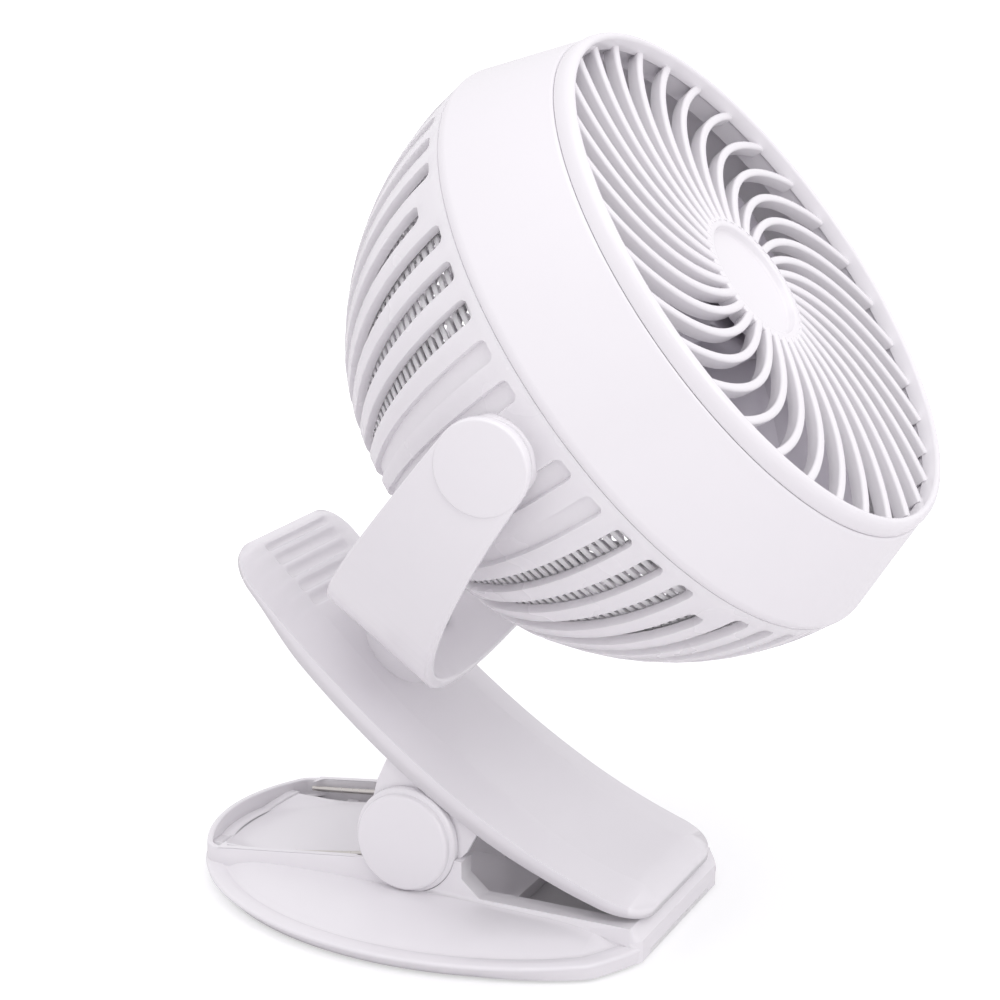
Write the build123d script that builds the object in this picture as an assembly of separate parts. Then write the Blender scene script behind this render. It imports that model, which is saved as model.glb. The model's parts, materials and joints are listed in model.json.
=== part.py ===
from build123d import *
import math
import os

# Small clip fan: a caged fan head in a bowed yoke, standing on a sprung clip whose lower jaw is
# the flat base. Millimetres. The origin is on the floor, under the middle of the base.
# +X points to the jaw's tip, +Z is up, and the clip is symmetric about the plane y = 0.

# ---- general moulding sizes -------------------------------------------------------------------
WALL = 2.2                # moulded wall of the head
RUN_GAP = 0.05            # radial clearance of a running fit
SIDE_GAP = 0.3            # clearance between faces that pass each other

# ---- base (the lower jaw) ---------------------------------------------------------------------
BASE_X = 0.4              # centre of the oval outline
BASE_A = 66.0             # half length of the oval at the floor
BASE_B = 52.5             # half width of the oval at the floor
BASE_TIP = 56.5           # the oval is cut straight here, under the jaw's tip
BASE_TIP_R = 9.0          # corner radius of that straight cut
BASE_FLARE = 3.2          # the rim stands out this much further than the floor line
FOOT_H = 0.6              # the rubber mat lifts the base this much
PLATE_INSET = 3.4         # bottom plate, set into the base from below
PLATE_T0 = 1.2
CORE_INSET = 6.0          # the wings are hollow underneath, up to this height
CORE_TOP = 3.2
MAT_INSET = 12.0
PLATE_SCREW_X = (-30.0, 28.0)
PLATE_SCREW_Y = 31.0
PLATE_SCREW_R = 1.2
PLATE_SCREW_HEAD_R = 2.3
PLATE_SCREW_TOP = 4.8
RIM_Z = 4.6               # top of the rim
WING_Z = 8.0              # the wings rise to this height beside the channel
BLOCK_HALF = 27.0         # half width of the raised middle
CHANNEL_HALF = 25.3       # half width of the hollow in the tail, between its walls
JAW_HOLLOW_HALF = 21.5    # half width of the hollow under the jaw
FLOOR_Z = 2.6             # top of the base's floor inside the hollow
TAIL_TOP = 9.0            # top of the tail's rim
STRIP_TOP = 13.9          # the side walls rise to this height beside the pivot
JAW_TOP = 9.3             # top of the walls under the jaw
TAIL_WALL = 2.0           # thickness of the tail's curved rear wall
JAW_X0 = 10.7             # front face of the upright beside the ear
JAW_X1 = 51.5             # front end of the hollow under the jaw
RIB_X = 19.0              # cross rib in the hollow
RIB_T = 2.0
PANEL_T = 1.8             # spring cover in the tail
PANEL_HALF = 19.4
PANEL_X0 = -58.0
PANEL_X1 = -19.0
PANEL_Z0 = 5.6            # height of its top at the rear
PANEL_SLOPE = 0.15
PANEL_GAP = 3.0           # gap to the tail's wall

# ---- clip pivot -------------------------------------------------------------------------------
PIVOT_X = -4.2
PIVOT_Z = 20.7
AXLE_R = 2.0
AXLE_HALF = 27.4
LUG_Y0 = 13.2             # lugs of the base that hold the axle
LUG_T = 3.0
LUG_R = 9.0
LUG_FOOT = 8.0            # half length of a lug at the floor
SLEEVE_R = 4.1            # sleeve beside each lug, which the spring's coil sits on
EAR_T = 2.6               # ears of the upper arm
EAR_Y1 = 25.0
EAR_R = 12.2
CAP_R = 12.8              # round covers over the ends of the axle
CAP_T = 4.2
CAP_CHAMFER = 0.8

# ---- torsion springs --------------------------------------------------------------------------
WIRE_R = 0.7
COIL_R = 5.2              # mean radius of the coil
COIL_TURNS = 2
COIL_PITCH = 1.9          # more than the wire, so the turns stay apart
COIL_Y1 = 21.4            # outer end of the coil along the axle, where the tail's leg leaves it
LEG_BASE = 44.0           # leg that lies in the tail's slit
LEG_BASE_DEG = 13.0       # it rises this much towards the coil
LEG_ARM = 33.0            # leg that pushes up under the handle
LEG_ARM_DEG = 121.5       # its direction, from +X towards +Z

# ---- upper arm (the upper jaw and handle) -----------------------------------------------------
ARM_HALF = 27.0
ARM_CROWN_HALF = 25.4     # half width of the raised rim
ARM_CORNER_R = 10.0
ARM_TRAY_HALF = 23.0
LOWER_EDGE = [(-53.4, 84.9), (-44.9, 75.4), (-32.7, 60.7), (-8.0, 39.8), (15.4, 25.0), (36.1, 16.0), (56.5, 9.8)]
SIDE_EDGE = [(-52.7, 86.2), (-43.9, 77.0), (-19.2, 55.2), (1.5, 39.6), (20.3, 28.0), (36.0, 20.3), (56.5, 12.6)]
CREST_EDGE = [(-51.6, 87.7), (-43.5, 80.8), (-30.0, 68.3), (-8.0, 51.3), (14.0, 37.2), (36.1, 22.9), (56.5, 14.3)]
TRAY_EDGE = [(-56.0, 92.4), (-43.9, 80.1), (-20.0, 58.5), (-8.0, 47.6), (14.0, 33.2), (36.1, 20.6), (58.0, 15.2)]
HANDLE_LEAN = -130.9      # direction of the handle's end, as a turn from +X about Y
TIP_LEAN = 12.0           # direction of the jaw's tip
ARM_SKIN = 2.4            # the arm is hollow underneath, with walls and cross ribs this thick
ARM_RIBS = (-32.0, 6.0, 22.0)
GRIP_GROOVES = 5
GRIP_PITCH = 4.3
GRIP_W = 2.3
GRIP_DEPTH = 0.8
GRIP_HALF = 15.5
GRIP_START = (-48.9, 84.6)
JAW_PAD_T = 1.4
JAW_PAD_X0 = 38.0
JAW_PAD_X1 = 52.0
JAW_PAD_HALF = 17.0

# ---- swivel under the yoke --------------------------------------------------------------------
TILT_X = 35.43            # tilt axis of the head
TILT_Z = 132.66
YOKE_LEAN = 36.6          # the swivel axis leans this much towards the jaw
SWIVEL_AT_REST = 3.5      # the head is turned this much on the swivel
BOW_R = 81.0              # outer radius of the yoke's half ring
BOW_T = 3.0
BOW_STRAIGHT = 0.4        # straight stretch of each leg, under the tilt axis
BOW_END_R = 10.6
BOW_HALF_MID = 13.2       # half width of the strip at its mid height
BOW_HALF_LOW = 17.6       # half width of the strip at the bottom
SEAT_R = 10.2             # pedestal between the arm and the yoke
SEAT_TOP_R = 8.6
SEAT_FLANGE = 1.2
SWIVEL_R = 3.0            # bolt of the swivel
SWIVEL_HEAD_R = 5.5
SWIVEL_HEAD_T = 2.2
SWIVEL_SEAT_T = 2.8       # the yoke's thickness under the bolt's head
SWIVEL_NUT_R = 5.2
SWIVEL_NUT_T = 2.4
SWIVEL_WASHER_R = 7.0
SWIVEL_WASHER_T = 0.8
SEAT_DEPTH = 94.6         # the pedestal's foot, below the tilt axis
BOSS_DEPTH = 101.1        # the nut's seat under the arm, below the tilt axis

# ---- tilt pivots between yoke and head --------------------------------------------------------
TILT_BOSS_R = 10.4
TILT_FLAT = 75.2          # face of the boss on each side of the head, from the head's axis
TILT_BOSS_T = 2.1         # boss inside the yoke's end
TILT_WASHER_R = 8.0
TILT_WASHER_T = 0.5
TILT_HOLE_R = 3.0
TILT_RECESS_R = 8.6
TILT_RECESS = 3.6
TILT_SCREW_R = 2.0
TILT_HEAD_R = 4.2
TILT_HEAD_T = 1.4
TILT_CAP_R = 10.5
TILT_CAP_T = 1.6

# ---- fan head: distances along the head's axis count forward from the seam ---------------------
HEAD_PITCH = 52.2         # the head's axis leans this much from upright
PIVOT_BEHIND = 15.5       # the tilt axis lies this far behind the seam
SEAM_R = 74.6
SHOULDER_R = 75.0
SHOULDER_H = 1.6
BAND_R = 66.2             # radius of the band at the groove
BAND_H = 25.6
BEZEL_H = 30.1            # front edge of the bezel
BEZEL_R = 63.1            # opening of the bezel
GROOVE = 0.5
BOWL = [(0.0, 74.6), (-30.0, 66.6), (-50.7, 52.0)]      # outer bowl, as (height, radius)
BACK_H = -60.0
BACK_R = 33.0             # flat hub at the back
BACK_KNEE = (-57.2, 44.0)
LIP = 3.0                 # lip that joins the seam from inside
LIP_T = 1.2

RIB_COUNT = 33            # front grille
RIB_W = 2.2
RIB_DEPTH = 4.4
RIB_TOP = 27.4
RIB_SWEEP = 35.6          # degrees that a rib turns from the hub to the bezel
RIB_END_ANGLE = 91.7      # angle of the first rib at the bezel
RIB_EASE = 0.012          # the curl is stronger in the middle of a rib's length by this share
RIB_LATE = -0.078         # and a little stronger towards the bezel
HUB_R = 16.8
HUB_TOP = 27.2
HUB_T = 4.4
HUB_DISH_R = 13.9
HUB_DISH = 1.6
SKIRT_T = 1.6             # skirt of the bezel, inside the band
SKIRT_DEPTH = 5.0

SLOT_COUNT = 48           # rear shell
SLOT_DEG = 3.9
SLOT_FRONT = -2.7
SLOT_SHORT_FRONT = -7.6   # slots in front of the four screw bosses start here
SLOT_INNER_R = 36.0
BLIND_SLOTS = 2           # slots closed on each side of a tilt pivot, where there is none
BLIND_DEPTH = 0.9

GUARD_GAP = 0.6           # inner guard, behind the slots
GUARD_T = 1.4
GUARD_RINGS = 8
GUARD_RING_W = 2.0
GUARD_BARS = 16
GUARD_BAR_DEG = 3.0
GUARD_BACK_R = 36.0
GUARD_FRONT = -4.0

SCREW_CIRCLE = 69.0       # four screws join the shell and the band
SCREW_R = 1.3
SCREW_HEAD_R = 2.4
SCREW_HEAD_T = 1.5
SCREW_LEN = 12.0
SCREW_SEAT = -9.0         # seat of the screw heads
SCREW_BOSS_R = 3.2

MOTOR_R = 12.2
MOTOR_LEN = 17.0
MOTOR_FRONT = 3.0
MOTOR_BOSS_R = 3.6
MOTOR_BOSS_T = 1.2
MOTOR_CUP_T = 1.6
PLATE_BACK = -33.0        # plate of the motor mount, which also closes the control pod
PLATE_T = 2.0
SHAFT_R = 1.0
SHAFT_FRONT = 17.5
ARMATURE_R = 9.6
ARMATURE_LEN = 10.0
BUSH_R = 2.6
BUSH_T = 2.4

BLADES = 7
BLADE_R = 60.0
BLADE_T = 1.3
BLADE_SWEEP = 58.0        # degrees that one blade covers at its tip
BLADE_FRONT = 19.0
BLADE_BACK = 5.5
CONE_R = 17.0             # hub of the impeller
CONE_FRONT = 20.0
CONE_BACK = 5.0
CONE_T = 1.6
INSERT_R = 3.0            # metal insert on the shaft
INSERT_LEN = 8.0

POD_R = 29.5              # control pod at the back of the head
POD_T = 1.6
CELL_L = 40.0
CELL_W = 30.0
CELL_T = 8.0
CELL_H = -45.6            # front of the cell
BOARD_R = 26.0
BOARD_T = 1.2
BOARD_H = -48.8           # back of the board
BUTTON_R = 5.5
BUTTON_LEN = 6.6
BUTTON_PROUD = 1.0
BUTTON_TRAVEL = 0.8
BUTTON_FLANGE_R = 6.6
BUTTON_FLANGE_T = 0.9
BUTTON_X = 12.0           # towards the lower edge of the hub
SWITCH_W = 6.0
SWITCH_T = 3.0
LENS_R = 1.4
LENS_X = 22.0
PORT_W = 9.0              # charging socket
PORT_H = 3.2
PORT_LEN = 7.0
PORT_X = -16.0
PORT_WALL = 0.4


# ---- frames -----------------------------------------------------------------------------------
YOKE_FRAME = Pos(TILT_X, 0, TILT_Z) * Rot(0, YOKE_LEAN, 0) * Rot(0, 0, SWIVEL_AT_REST)
ARM_SWIVEL_FRAME = Pos(TILT_X, 0, TILT_Z) * Rot(0, YOKE_LEAN, 0)
HEAD_FRAME = YOKE_FRAME * Rot(0, HEAD_PITCH - YOKE_LEAN, 0) * Pos(0, 0, PIVOT_BEHIND)
CLIP_AXIS = Pos(PIVOT_X, 0, PIVOT_Z)
BOW_LOW = -(BOW_STRAIGHT + BOW_R)


# ---- shared shapes ----------------------------------------------------------------------------
def rod(radius, z0, z1):
    """Round bar along Z from z0 to z1."""
    return Pos(0, 0, z0) * extrude(Circle(radius), z1 - z0)


def tube(outer, inner, z0, z1):
    return Pos(0, 0, z0) * extrude(Circle(outer) - Circle(inner), z1 - z0)


def block(x0, x1, y0, y1, z0, z1):
    return Pos((x0 + x1) / 2, (y0 + y1) / 2, (z0 + z1) / 2) * Box(x1 - x0, y1 - y0, z1 - z0)


def disc_y(radius, y0, y1, x=0.0, z=0.0):
    """Round bar along Y from y0 to y1."""
    lo, hi = min(y0, y1), max(y0, y1)
    return Pos(x, (lo + hi) / 2, z) * Rot(90, 0, 0) * Cylinder(radius, hi - lo)


def slab_y(points, y0, y1):
    """Flat outline in the XZ plane, made solid from y0 to y1."""
    face = make_face(Polyline(*[(x, 0, z) for x, z in points], close=True))
    return Pos(0, max(y0, y1), 0) * extrude(face, abs(y1 - y0), dir=(0, -1, 0))


def both_sides(solid):
    return [solid, mirror(solid, about=Plane.XZ)]


def ring_of(solid, count, start=0.0, skip=()):
    step = 360.0 / count
    return [Rot(0, 0, start + i * step) * solid for i in range(count) if i not in skip]


def turned(*edges):
    """Solid of revolution about Z from edges drawn as (radius, height)."""
    face = make_face(Curve() + [Rot(90, 0, 0) * edge for edge in edges])
    return revolve(face, axis=Axis.Z)


def turned_loop(points):
    return turned(Polyline(*points, close=True))


def save(name, *solids):
    shape = solids[0] if len(solids) == 1 else Compound(children=list(solids))
    shape.label = name
    export_step(shape, f"parts/{name}.step")


# ---- base -------------------------------------------------------------------------------------
def base_outline(grow):
    """Oval with its front end cut straight, moved outwards by grow."""
    oval = Pos(BASE_X, 0, 0) * Ellipse(BASE_A + grow, BASE_B + grow)
    length = 2 * (BASE_A + grow)
    cut = Pos(BASE_TIP - length / 2, 0, 0) * Rectangle(length, 2 * (BASE_B + grow))
    face = oval & cut
    front = face.vertices().group_by(Axis.X)[-1]
    return fillet(front, BASE_TIP_R)


def base_shell():
    rim = RIM_Z - FOOT_H
    hull = loft([Pos(0, 0, FOOT_H) * base_outline(0), Pos(0, 0, RIM_Z) * base_outline(BASE_FLARE)])
    wing_slope = math.degrees(math.atan((BASE_B + BASE_FLARE - BLOCK_HALF) / (WING_Z - RIM_Z)))
    wings = extrude(Pos(0, 0, RIM_Z) * base_outline(BASE_FLARE), WING_Z - RIM_Z, taper=min(wing_slope, 80))
    strip = Pos(0, 0, 0) * Rectangle(4 * BASE_A, 2 * BLOCK_HALF)
    middle = Pos(0, 0, FOOT_H) * extrude(base_outline(BASE_FLARE * 0.5) & strip, STRIP_TOP + 6)
    tip_drop = JAW_TOP - 3.3
    top = [
        (BASE_X - BASE_A - 9, TAIL_TOP - 0.2),
        (-57.0, TAIL_TOP),
        (-18.0, STRIP_TOP),
        (PIVOT_X, STRIP_TOP + 1.0),
        (JAW_X0 - 2.0, PIVOT_Z - 2.9),
        (JAW_X0, PIVOT_Z - 2.9),
        (JAW_X0, PIVOT_Z - 7.2),
        (JAW_X0 + 4.8, JAW_TOP),
        (BASE_TIP - 2.4, JAW_TOP),
        (BASE_TIP, tip_drop),
        (BASE_TIP + 9, tip_drop),
        (BASE_TIP + 9, 60.0),
        (BASE_X - BASE_A - 9, 60.0),
    ]
    middle -= slab_y(top, -2 * BLOCK_HALF, 2 * BLOCK_HALF)
    body = hull + wings + middle

    ear_room = EAR_R + SIDE_GAP + 0.6
    tail_x1 = PIVOT_X + 3.0
    pocket = base_outline(-TAIL_WALL) & Pos(tail_x1 - BASE_A, 0, 0) * Rectangle(2 * BASE_A, 2 * CHANNEL_HALF)
    body -= Pos(0, 0, FLOOR_Z) * extrude(pocket, 40)
    body -= block(tail_x1 - 1, JAW_X1, -JAW_HOLLOW_HALF, JAW_HOLLOW_HALF, FLOOR_Z, 40)
    body -= both_sides(disc_y(ear_room, JAW_HOLLOW_HALF - 0.1, EAR_Y1 + SIDE_GAP, PIVOT_X, PIVOT_Z))
    body -= both_sides(disc_y(CAP_R + 0.5, EAR_Y1, BLOCK_HALF + 20, PIVOT_X, PIVOT_Z))
    body += block(RIB_X, RIB_X + RIB_T, -JAW_HOLLOW_HALF, JAW_HOLLOW_HALF, FLOOR_Z, JAW_TOP - 2.5)

    lug_side = [
        (PIVOT_X - LUG_FOOT, FLOOR_Z), (PIVOT_X + LUG_FOOT, FLOOR_Z),
        (PIVOT_X + LUG_R * 0.92, PIVOT_Z), (PIVOT_X - LUG_R * 0.92, PIVOT_Z),
    ]
    lug = slab_y(lug_side, LUG_Y0, LUG_Y0 + LUG_T) + disc_y(LUG_R, LUG_Y0, LUG_Y0 + LUG_T, PIVOT_X, PIVOT_Z)
    body += both_sides(lug)
    body -= disc_y(AXLE_R, -BASE_B, BASE_B, PIVOT_X, PIVOT_Z)
    sleeve_end = EAR_Y1 - EAR_T - SIDE_GAP
    sleeve = disc_y(SLEEVE_R, LUG_Y0 + LUG_T - 0.1, sleeve_end, PIVOT_X, PIVOT_Z)
    sleeve -= disc_y(AXLE_R, 0, BASE_B, PIVOT_X, PIVOT_Z)
    body += both_sides(sleeve)
    leg_end_x, leg_end_z = leg_end()
    ledge = block(leg_end_x - 1.5, leg_end_x + 1.5, PANEL_HALF + 1.0, CHANNEL_HALF + 0.2, FLOOR_Z - 0.1,
                  leg_end_z - WIRE_R - 0.05)
    body += both_sides(ledge)

    plate_room = extrude(base_outline(-PLATE_INSET), PLATE_T0)
    body -= Pos(0, 0, FOOT_H) * plate_room
    core = Pos(0, 0, FOOT_H) * extrude(base_outline(-CORE_INSET), CORE_TOP - FOOT_H)
    core -= block(-BASE_A, BASE_A, -BLOCK_HALF, BLOCK_HALF, 0, 10)
    core -= [Pos(x, y, 0) * rod(3.2, 0, 10) for x in PLATE_SCREW_X for y in (PLATE_SCREW_Y, -PLATE_SCREW_Y)]
    body -= core
    body -= [Pos(x, y, 0) * rod(PLATE_SCREW_R, 0, PLATE_SCREW_TOP)
             for x in PLATE_SCREW_X for y in (PLATE_SCREW_Y, -PLATE_SCREW_Y)]
    return body


def base_plate():
    plate = Pos(0, 0, FOOT_H) * extrude(base_outline(-PLATE_INSET - 0.1), PLATE_T0)
    for x in PLATE_SCREW_X:
        for y in (PLATE_SCREW_Y, -PLATE_SCREW_Y):
            plate -= Pos(x, y, 0) * rod(PLATE_SCREW_R + 0.1, 0, 5)
            plate -= Pos(x, y, 0) * rod(PLATE_SCREW_HEAD_R + 0.1, 0, FOOT_H + 0.7)
    return plate


def plate_screws():
    screw = rod(PLATE_SCREW_R, FOOT_H, PLATE_SCREW_TOP) + rod(PLATE_SCREW_HEAD_R, FOOT_H, FOOT_H + 0.7)
    return [Pos(x, y, 0) * screw for x in PLATE_SCREW_X for y in (PLATE_SCREW_Y, -PLATE_SCREW_Y)]


def foot_mat():
    return extrude(base_outline(-MAT_INSET), FOOT_H)


def leg_end():
    """End of the spring's leg in the tail, as (x, z)."""
    lean = math.radians(LEG_BASE_DEG)
    x = PIVOT_X + COIL_R * math.sin(lean) - LEG_BASE * math.cos(lean)
    z = PIVOT_Z - COIL_R * math.cos(lean) - LEG_BASE * math.sin(lean)
    return x, z


def panel_top(x):
    return PANEL_Z0 + PANEL_SLOPE * (x - PANEL_X0)


def spring_cover():
    """Sloping plate over the springs' tail space, standing on two side flanges."""
    plan = base_outline(-TAIL_WALL - PANEL_GAP) & Pos(PANEL_X1 - BASE_A, 0, 0) * Rectangle(2 * BASE_A, 2 * PANEL_HALF)
    tall = Pos(0, 0, FLOOR_Z) * extrude(plan, 30)
    plate = slab_y(
        [(PANEL_X0 - 12, panel_top(PANEL_X0 - 12)), (PANEL_X1, panel_top(PANEL_X1)),
         (PANEL_X1, panel_top(PANEL_X1) - PANEL_T), (PANEL_X0 - 12, panel_top(PANEL_X0 - 12) - PANEL_T)],
        -PANEL_HALF, PANEL_HALF)
    flange = slab_y(
        [(PANEL_X0 + 9, FLOOR_Z), (PANEL_X1, FLOOR_Z), (PANEL_X1, panel_top(PANEL_X1) - PANEL_T / 2),
         (PANEL_X0 + 9, panel_top(PANEL_X0 + 9) - PANEL_T / 2)],
        PANEL_HALF - PANEL_T, PANEL_HALF)
    solid = (plate & tall) + both_sides(flange)
    return solid


def clip_axle():
    return disc_y(AXLE_R, -AXLE_HALF, AXLE_HALF, PIVOT_X, PIVOT_Z)


def pivot_caps():
    """Round covers pressed on the ends of the axle."""
    y0 = EAR_Y1 + SIDE_GAP
    cap = disc_y(CAP_R, y0, y0 + CAP_T, PIVOT_X, PIVOT_Z)
    cap = chamfer(cap.edges().group_by(Axis.Y)[-1], CAP_CHAMFER)
    cap -= disc_y(AXLE_R, y0 - 1, AXLE_HALF, PIVOT_X, PIVOT_Z)
    return both_sides(cap)


# ---- torsion springs --------------------------------------------------------------------------
def biarc(p0, t0, p1, t1):
    """Two arcs that join p0 to p1 and leave and arrive along the directions t0 and t1."""
    v = p1 - p0
    t = t0 + t1
    a = 2 * (1 - t0.dot(t1))
    b = v.dot(t)
    d = (-b + math.sqrt(b * b + a * v.dot(v))) / a if a > 1e-9 else v.dot(v) / (4 * v.dot(t1))
    joint = (p0 + t0 * d + p1 - t1 * d) * 0.5
    return [TangentArc(p0, joint, tangent=t0), TangentArc(joint, p1, tangent=(joint - p0 - t0 * d) * 1.0)]


def coil_point(angle, turned):
    y = COIL_Y1 - COIL_PITCH * turned / (2 * math.pi)
    return Vector(COIL_R * math.cos(angle), y, COIL_R * math.sin(angle))


def coil_direction(angle, climb=COIL_PITCH):
    return Vector(-COIL_R * math.sin(angle), -climb / (2 * math.pi), COIL_R * math.cos(angle)).normalized()


def least_gap(path):
    """Least clear distance between the spring's turns, measured on points along its path."""
    points = [path @ (i / 400) for i in range(401)]
    apart = int(400 * COIL_R * math.pi / path.length)
    nearest = min((points[i] - points[j]).length for i in range(401) for j in range(i + apart, 401))
    return nearest - 2 * WIRE_R


def spring(side):
    """Torsion spring on the axle: a coil of whole turns between two straight legs."""
    start = math.radians(LEG_BASE_DEG - 90)
    end = math.radians(LEG_ARM_DEG - 90) + 2 * math.pi * COIL_TURNS
    steps = 4 * COIL_TURNS + 2
    turns = [(end - start) * i / steps for i in range(steps + 1)]
    spots = [(coil_point(start + t, t), coil_direction(start + t)) for t in turns]
    spots[0] = (spots[0][0], coil_direction(start, 0))
    spots[-1] = (spots[-1][0], coil_direction(end, 0))
    first, last = spots[0], spots[-1]
    edges = [Line(first[0] - first[1] * LEG_BASE, first[0])]
    for (p0, t0), (p1, t1) in zip(spots, spots[1:]):
        edges += biarc(p0, t0, p1, t1)
    edges.append(Line(last[0], last[0] + last[1] * LEG_ARM))
    path = Wire(edges)
    print("least gap of the spring to itself, mm:", round(least_gap(path), 2))
    profile = Plane(origin=path @ 0, z_dir=path % 0) * Circle(WIRE_R)
    wire = sweep(profile, path=path)
    wire = CLIP_AXIS * wire
    return wire if side > 0 else mirror(wire, about=Plane.XZ)


# ---- upper arm --------------------------------------------------------------------------------
def arm_profile(lower, upper, half):
    """Solid between two smooth edges of the arm, as wide as twice half."""
    low = Spline(*[(x, 0, z) for x, z in lower])
    high = Spline(*[(x, 0, z) for x, z in upper])
    face = Face(Wire([low, Line(low @ 1, high @ 1), high, Line(low @ 0, high @ 0)]))
    return Pos(0, half, 0) * extrude(face, 2 * half, dir=(0, -1, 0))


def corner_cutters(x, z, lean, half):
    """Cut the two corners round at an end of the arm, which points along X turned by lean about Y."""
    reach = ARM_CORNER_R
    corner = block(-reach, 8, half - reach, ARM_HALF + 4, -20, 20)
    corner -= Pos(-reach, half - reach, 0) * Cylinder(reach, 44)
    return [Pos(x, 0, z) * Rot(0, lean, 0) * solid for solid in both_sides(corner)]


def round_ends(solid, half):
    """Round the arm's plan at the handle's end and at the jaw's tip."""
    (x0, z0), (x1, z1) = LOWER_EDGE[0], LOWER_EDGE[-1]
    return solid - corner_cutters(x0, z0, HANDLE_LEAN, half) - corner_cutters(x1, z1, TIP_LEAN, half)


def arm_shell():
    body = round_ends(arm_profile(LOWER_EDGE, SIDE_EDGE, ARM_HALF), ARM_HALF)
    body += round_ends(arm_profile(LOWER_EDGE, CREST_EDGE, ARM_CROWN_HALF), ARM_CROWN_HALF)
    sky = [(x - 8.0, z + 60.0) for x, z in TRAY_EDGE]
    body -= arm_profile(TRAY_EDGE, sky, ARM_TRAY_HALF)

    under = arm_profile(
        [(x, z - 4.0) for x, z in LOWER_EDGE[1:-1]], [(x, z - 1.3 * ARM_SKIN) for x, z in TRAY_EDGE[1:-1]],
        ARM_HALF - ARM_SKIN)
    for x in ARM_RIBS:
        under -= Pos(x, 0, 50) * Box(ARM_SKIN * 0.7, 2 * ARM_HALF, 100)
    body -= under

    ear = slab_y(
        [(-13.0, 34.0), (-7.5, 45.0), (16.5, 29.8), (10.2, 18.6), (PIVOT_X, PIVOT_Z)],
        EAR_Y1 - EAR_T, EAR_Y1)
    ear += disc_y(EAR_R, EAR_Y1 - EAR_T, EAR_Y1, PIVOT_X, PIVOT_Z)
    body += both_sides(ear)
    body -= disc_y(AXLE_R + RUN_GAP, -ARM_HALF, ARM_HALF, PIVOT_X, PIVOT_Z)

    along = Vector(GRIP_PITCH * 0.655, 0, -GRIP_PITCH * 0.755)
    for i in range(GRIP_GROOVES):
        spot = Vector(GRIP_START[0], 0, GRIP_START[1]) + along * i
        body -= Pos(spot.X, 0, spot.Z) * Rot(0, 49.0, 0) * Box(GRIP_W, 2 * GRIP_HALF, 2 * GRIP_DEPTH)

    boss = ARM_SWIVEL_FRAME * rod(SEAT_R, -BOSS_DEPTH, -SEAT_DEPTH)
    body += boss
    body -= ARM_SWIVEL_FRAME * rod(SEAT_R + 0.1, -SEAT_DEPTH, BOW_LOW)
    body -= ARM_SWIVEL_FRAME * rod(SWIVEL_R + RUN_GAP, -BOSS_DEPTH - 20, BOW_LOW)
    body -= ARM_SWIVEL_FRAME * rod(SWIVEL_NUT_R + 0.6, -BOSS_DEPTH - 20, -BOSS_DEPTH)
    return body


def jaw_pads():
    """Soft pads: one under the arm's tip and one in the base's hollow, facing it."""
    upper = arm_profile([(x, z - JAW_PAD_T) for x, z in LOWER_EDGE], LOWER_EDGE, JAW_PAD_HALF)
    upper &= block(JAW_PAD_X0, JAW_PAD_X1, -JAW_PAD_HALF, JAW_PAD_HALF, 0, 40)
    lower = block(RIB_X + RIB_T, JAW_X1, -JAW_HOLLOW_HALF, JAW_HOLLOW_HALF, FLOOR_Z, FLOOR_Z + JAW_PAD_T)
    return upper, lower


# ---- swivel -----------------------------------------------------------------------------------
def swivel_seat():
    """Domed pedestal that the yoke turns on."""
    top = BOW_LOW - SWIVEL_WASHER_T
    rise = top + SEAT_DEPTH
    dome = turned(
        Polyline((SWIVEL_R + RUN_GAP, -SEAT_DEPTH), (SEAT_R, -SEAT_DEPTH), (SEAT_R, -SEAT_DEPTH + SEAT_FLANGE)),
        ThreePointArc((SEAT_R, -SEAT_DEPTH + SEAT_FLANGE), (SEAT_R - 0.2, top - rise * 0.4), (SEAT_TOP_R, top)),
        Polyline((SEAT_TOP_R, top), (SWIVEL_R + RUN_GAP, top), (SWIVEL_R + RUN_GAP, -SEAT_DEPTH)))
    return ARM_SWIVEL_FRAME * dome


def swivel_bolt():
    seat = BOW_LOW + SWIVEL_SEAT_T
    head = rod(SWIVEL_HEAD_R, seat, seat + SWIVEL_HEAD_T)
    head = fillet(head.edges().group_by(Axis.Z)[-1], 0.9)
    return ARM_SWIVEL_FRAME * (head + rod(SWIVEL_R, -BOSS_DEPTH - SWIVEL_NUT_T - 0.6, seat))


def swivel_washer():
    return ARM_SWIVEL_FRAME * tube(SWIVEL_WASHER_R, SWIVEL_R + RUN_GAP, BOW_LOW - SWIVEL_WASHER_T, BOW_LOW)


def swivel_nut():
    nut = extrude(RegularPolygon(SWIVEL_NUT_R, 6), SWIVEL_NUT_T) - rod(SWIVEL_R, -1, SWIVEL_NUT_T + 1)
    return ARM_SWIVEL_FRAME * Pos(0, 0, -BOSS_DEPTH - SWIVEL_NUT_T) * nut


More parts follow.
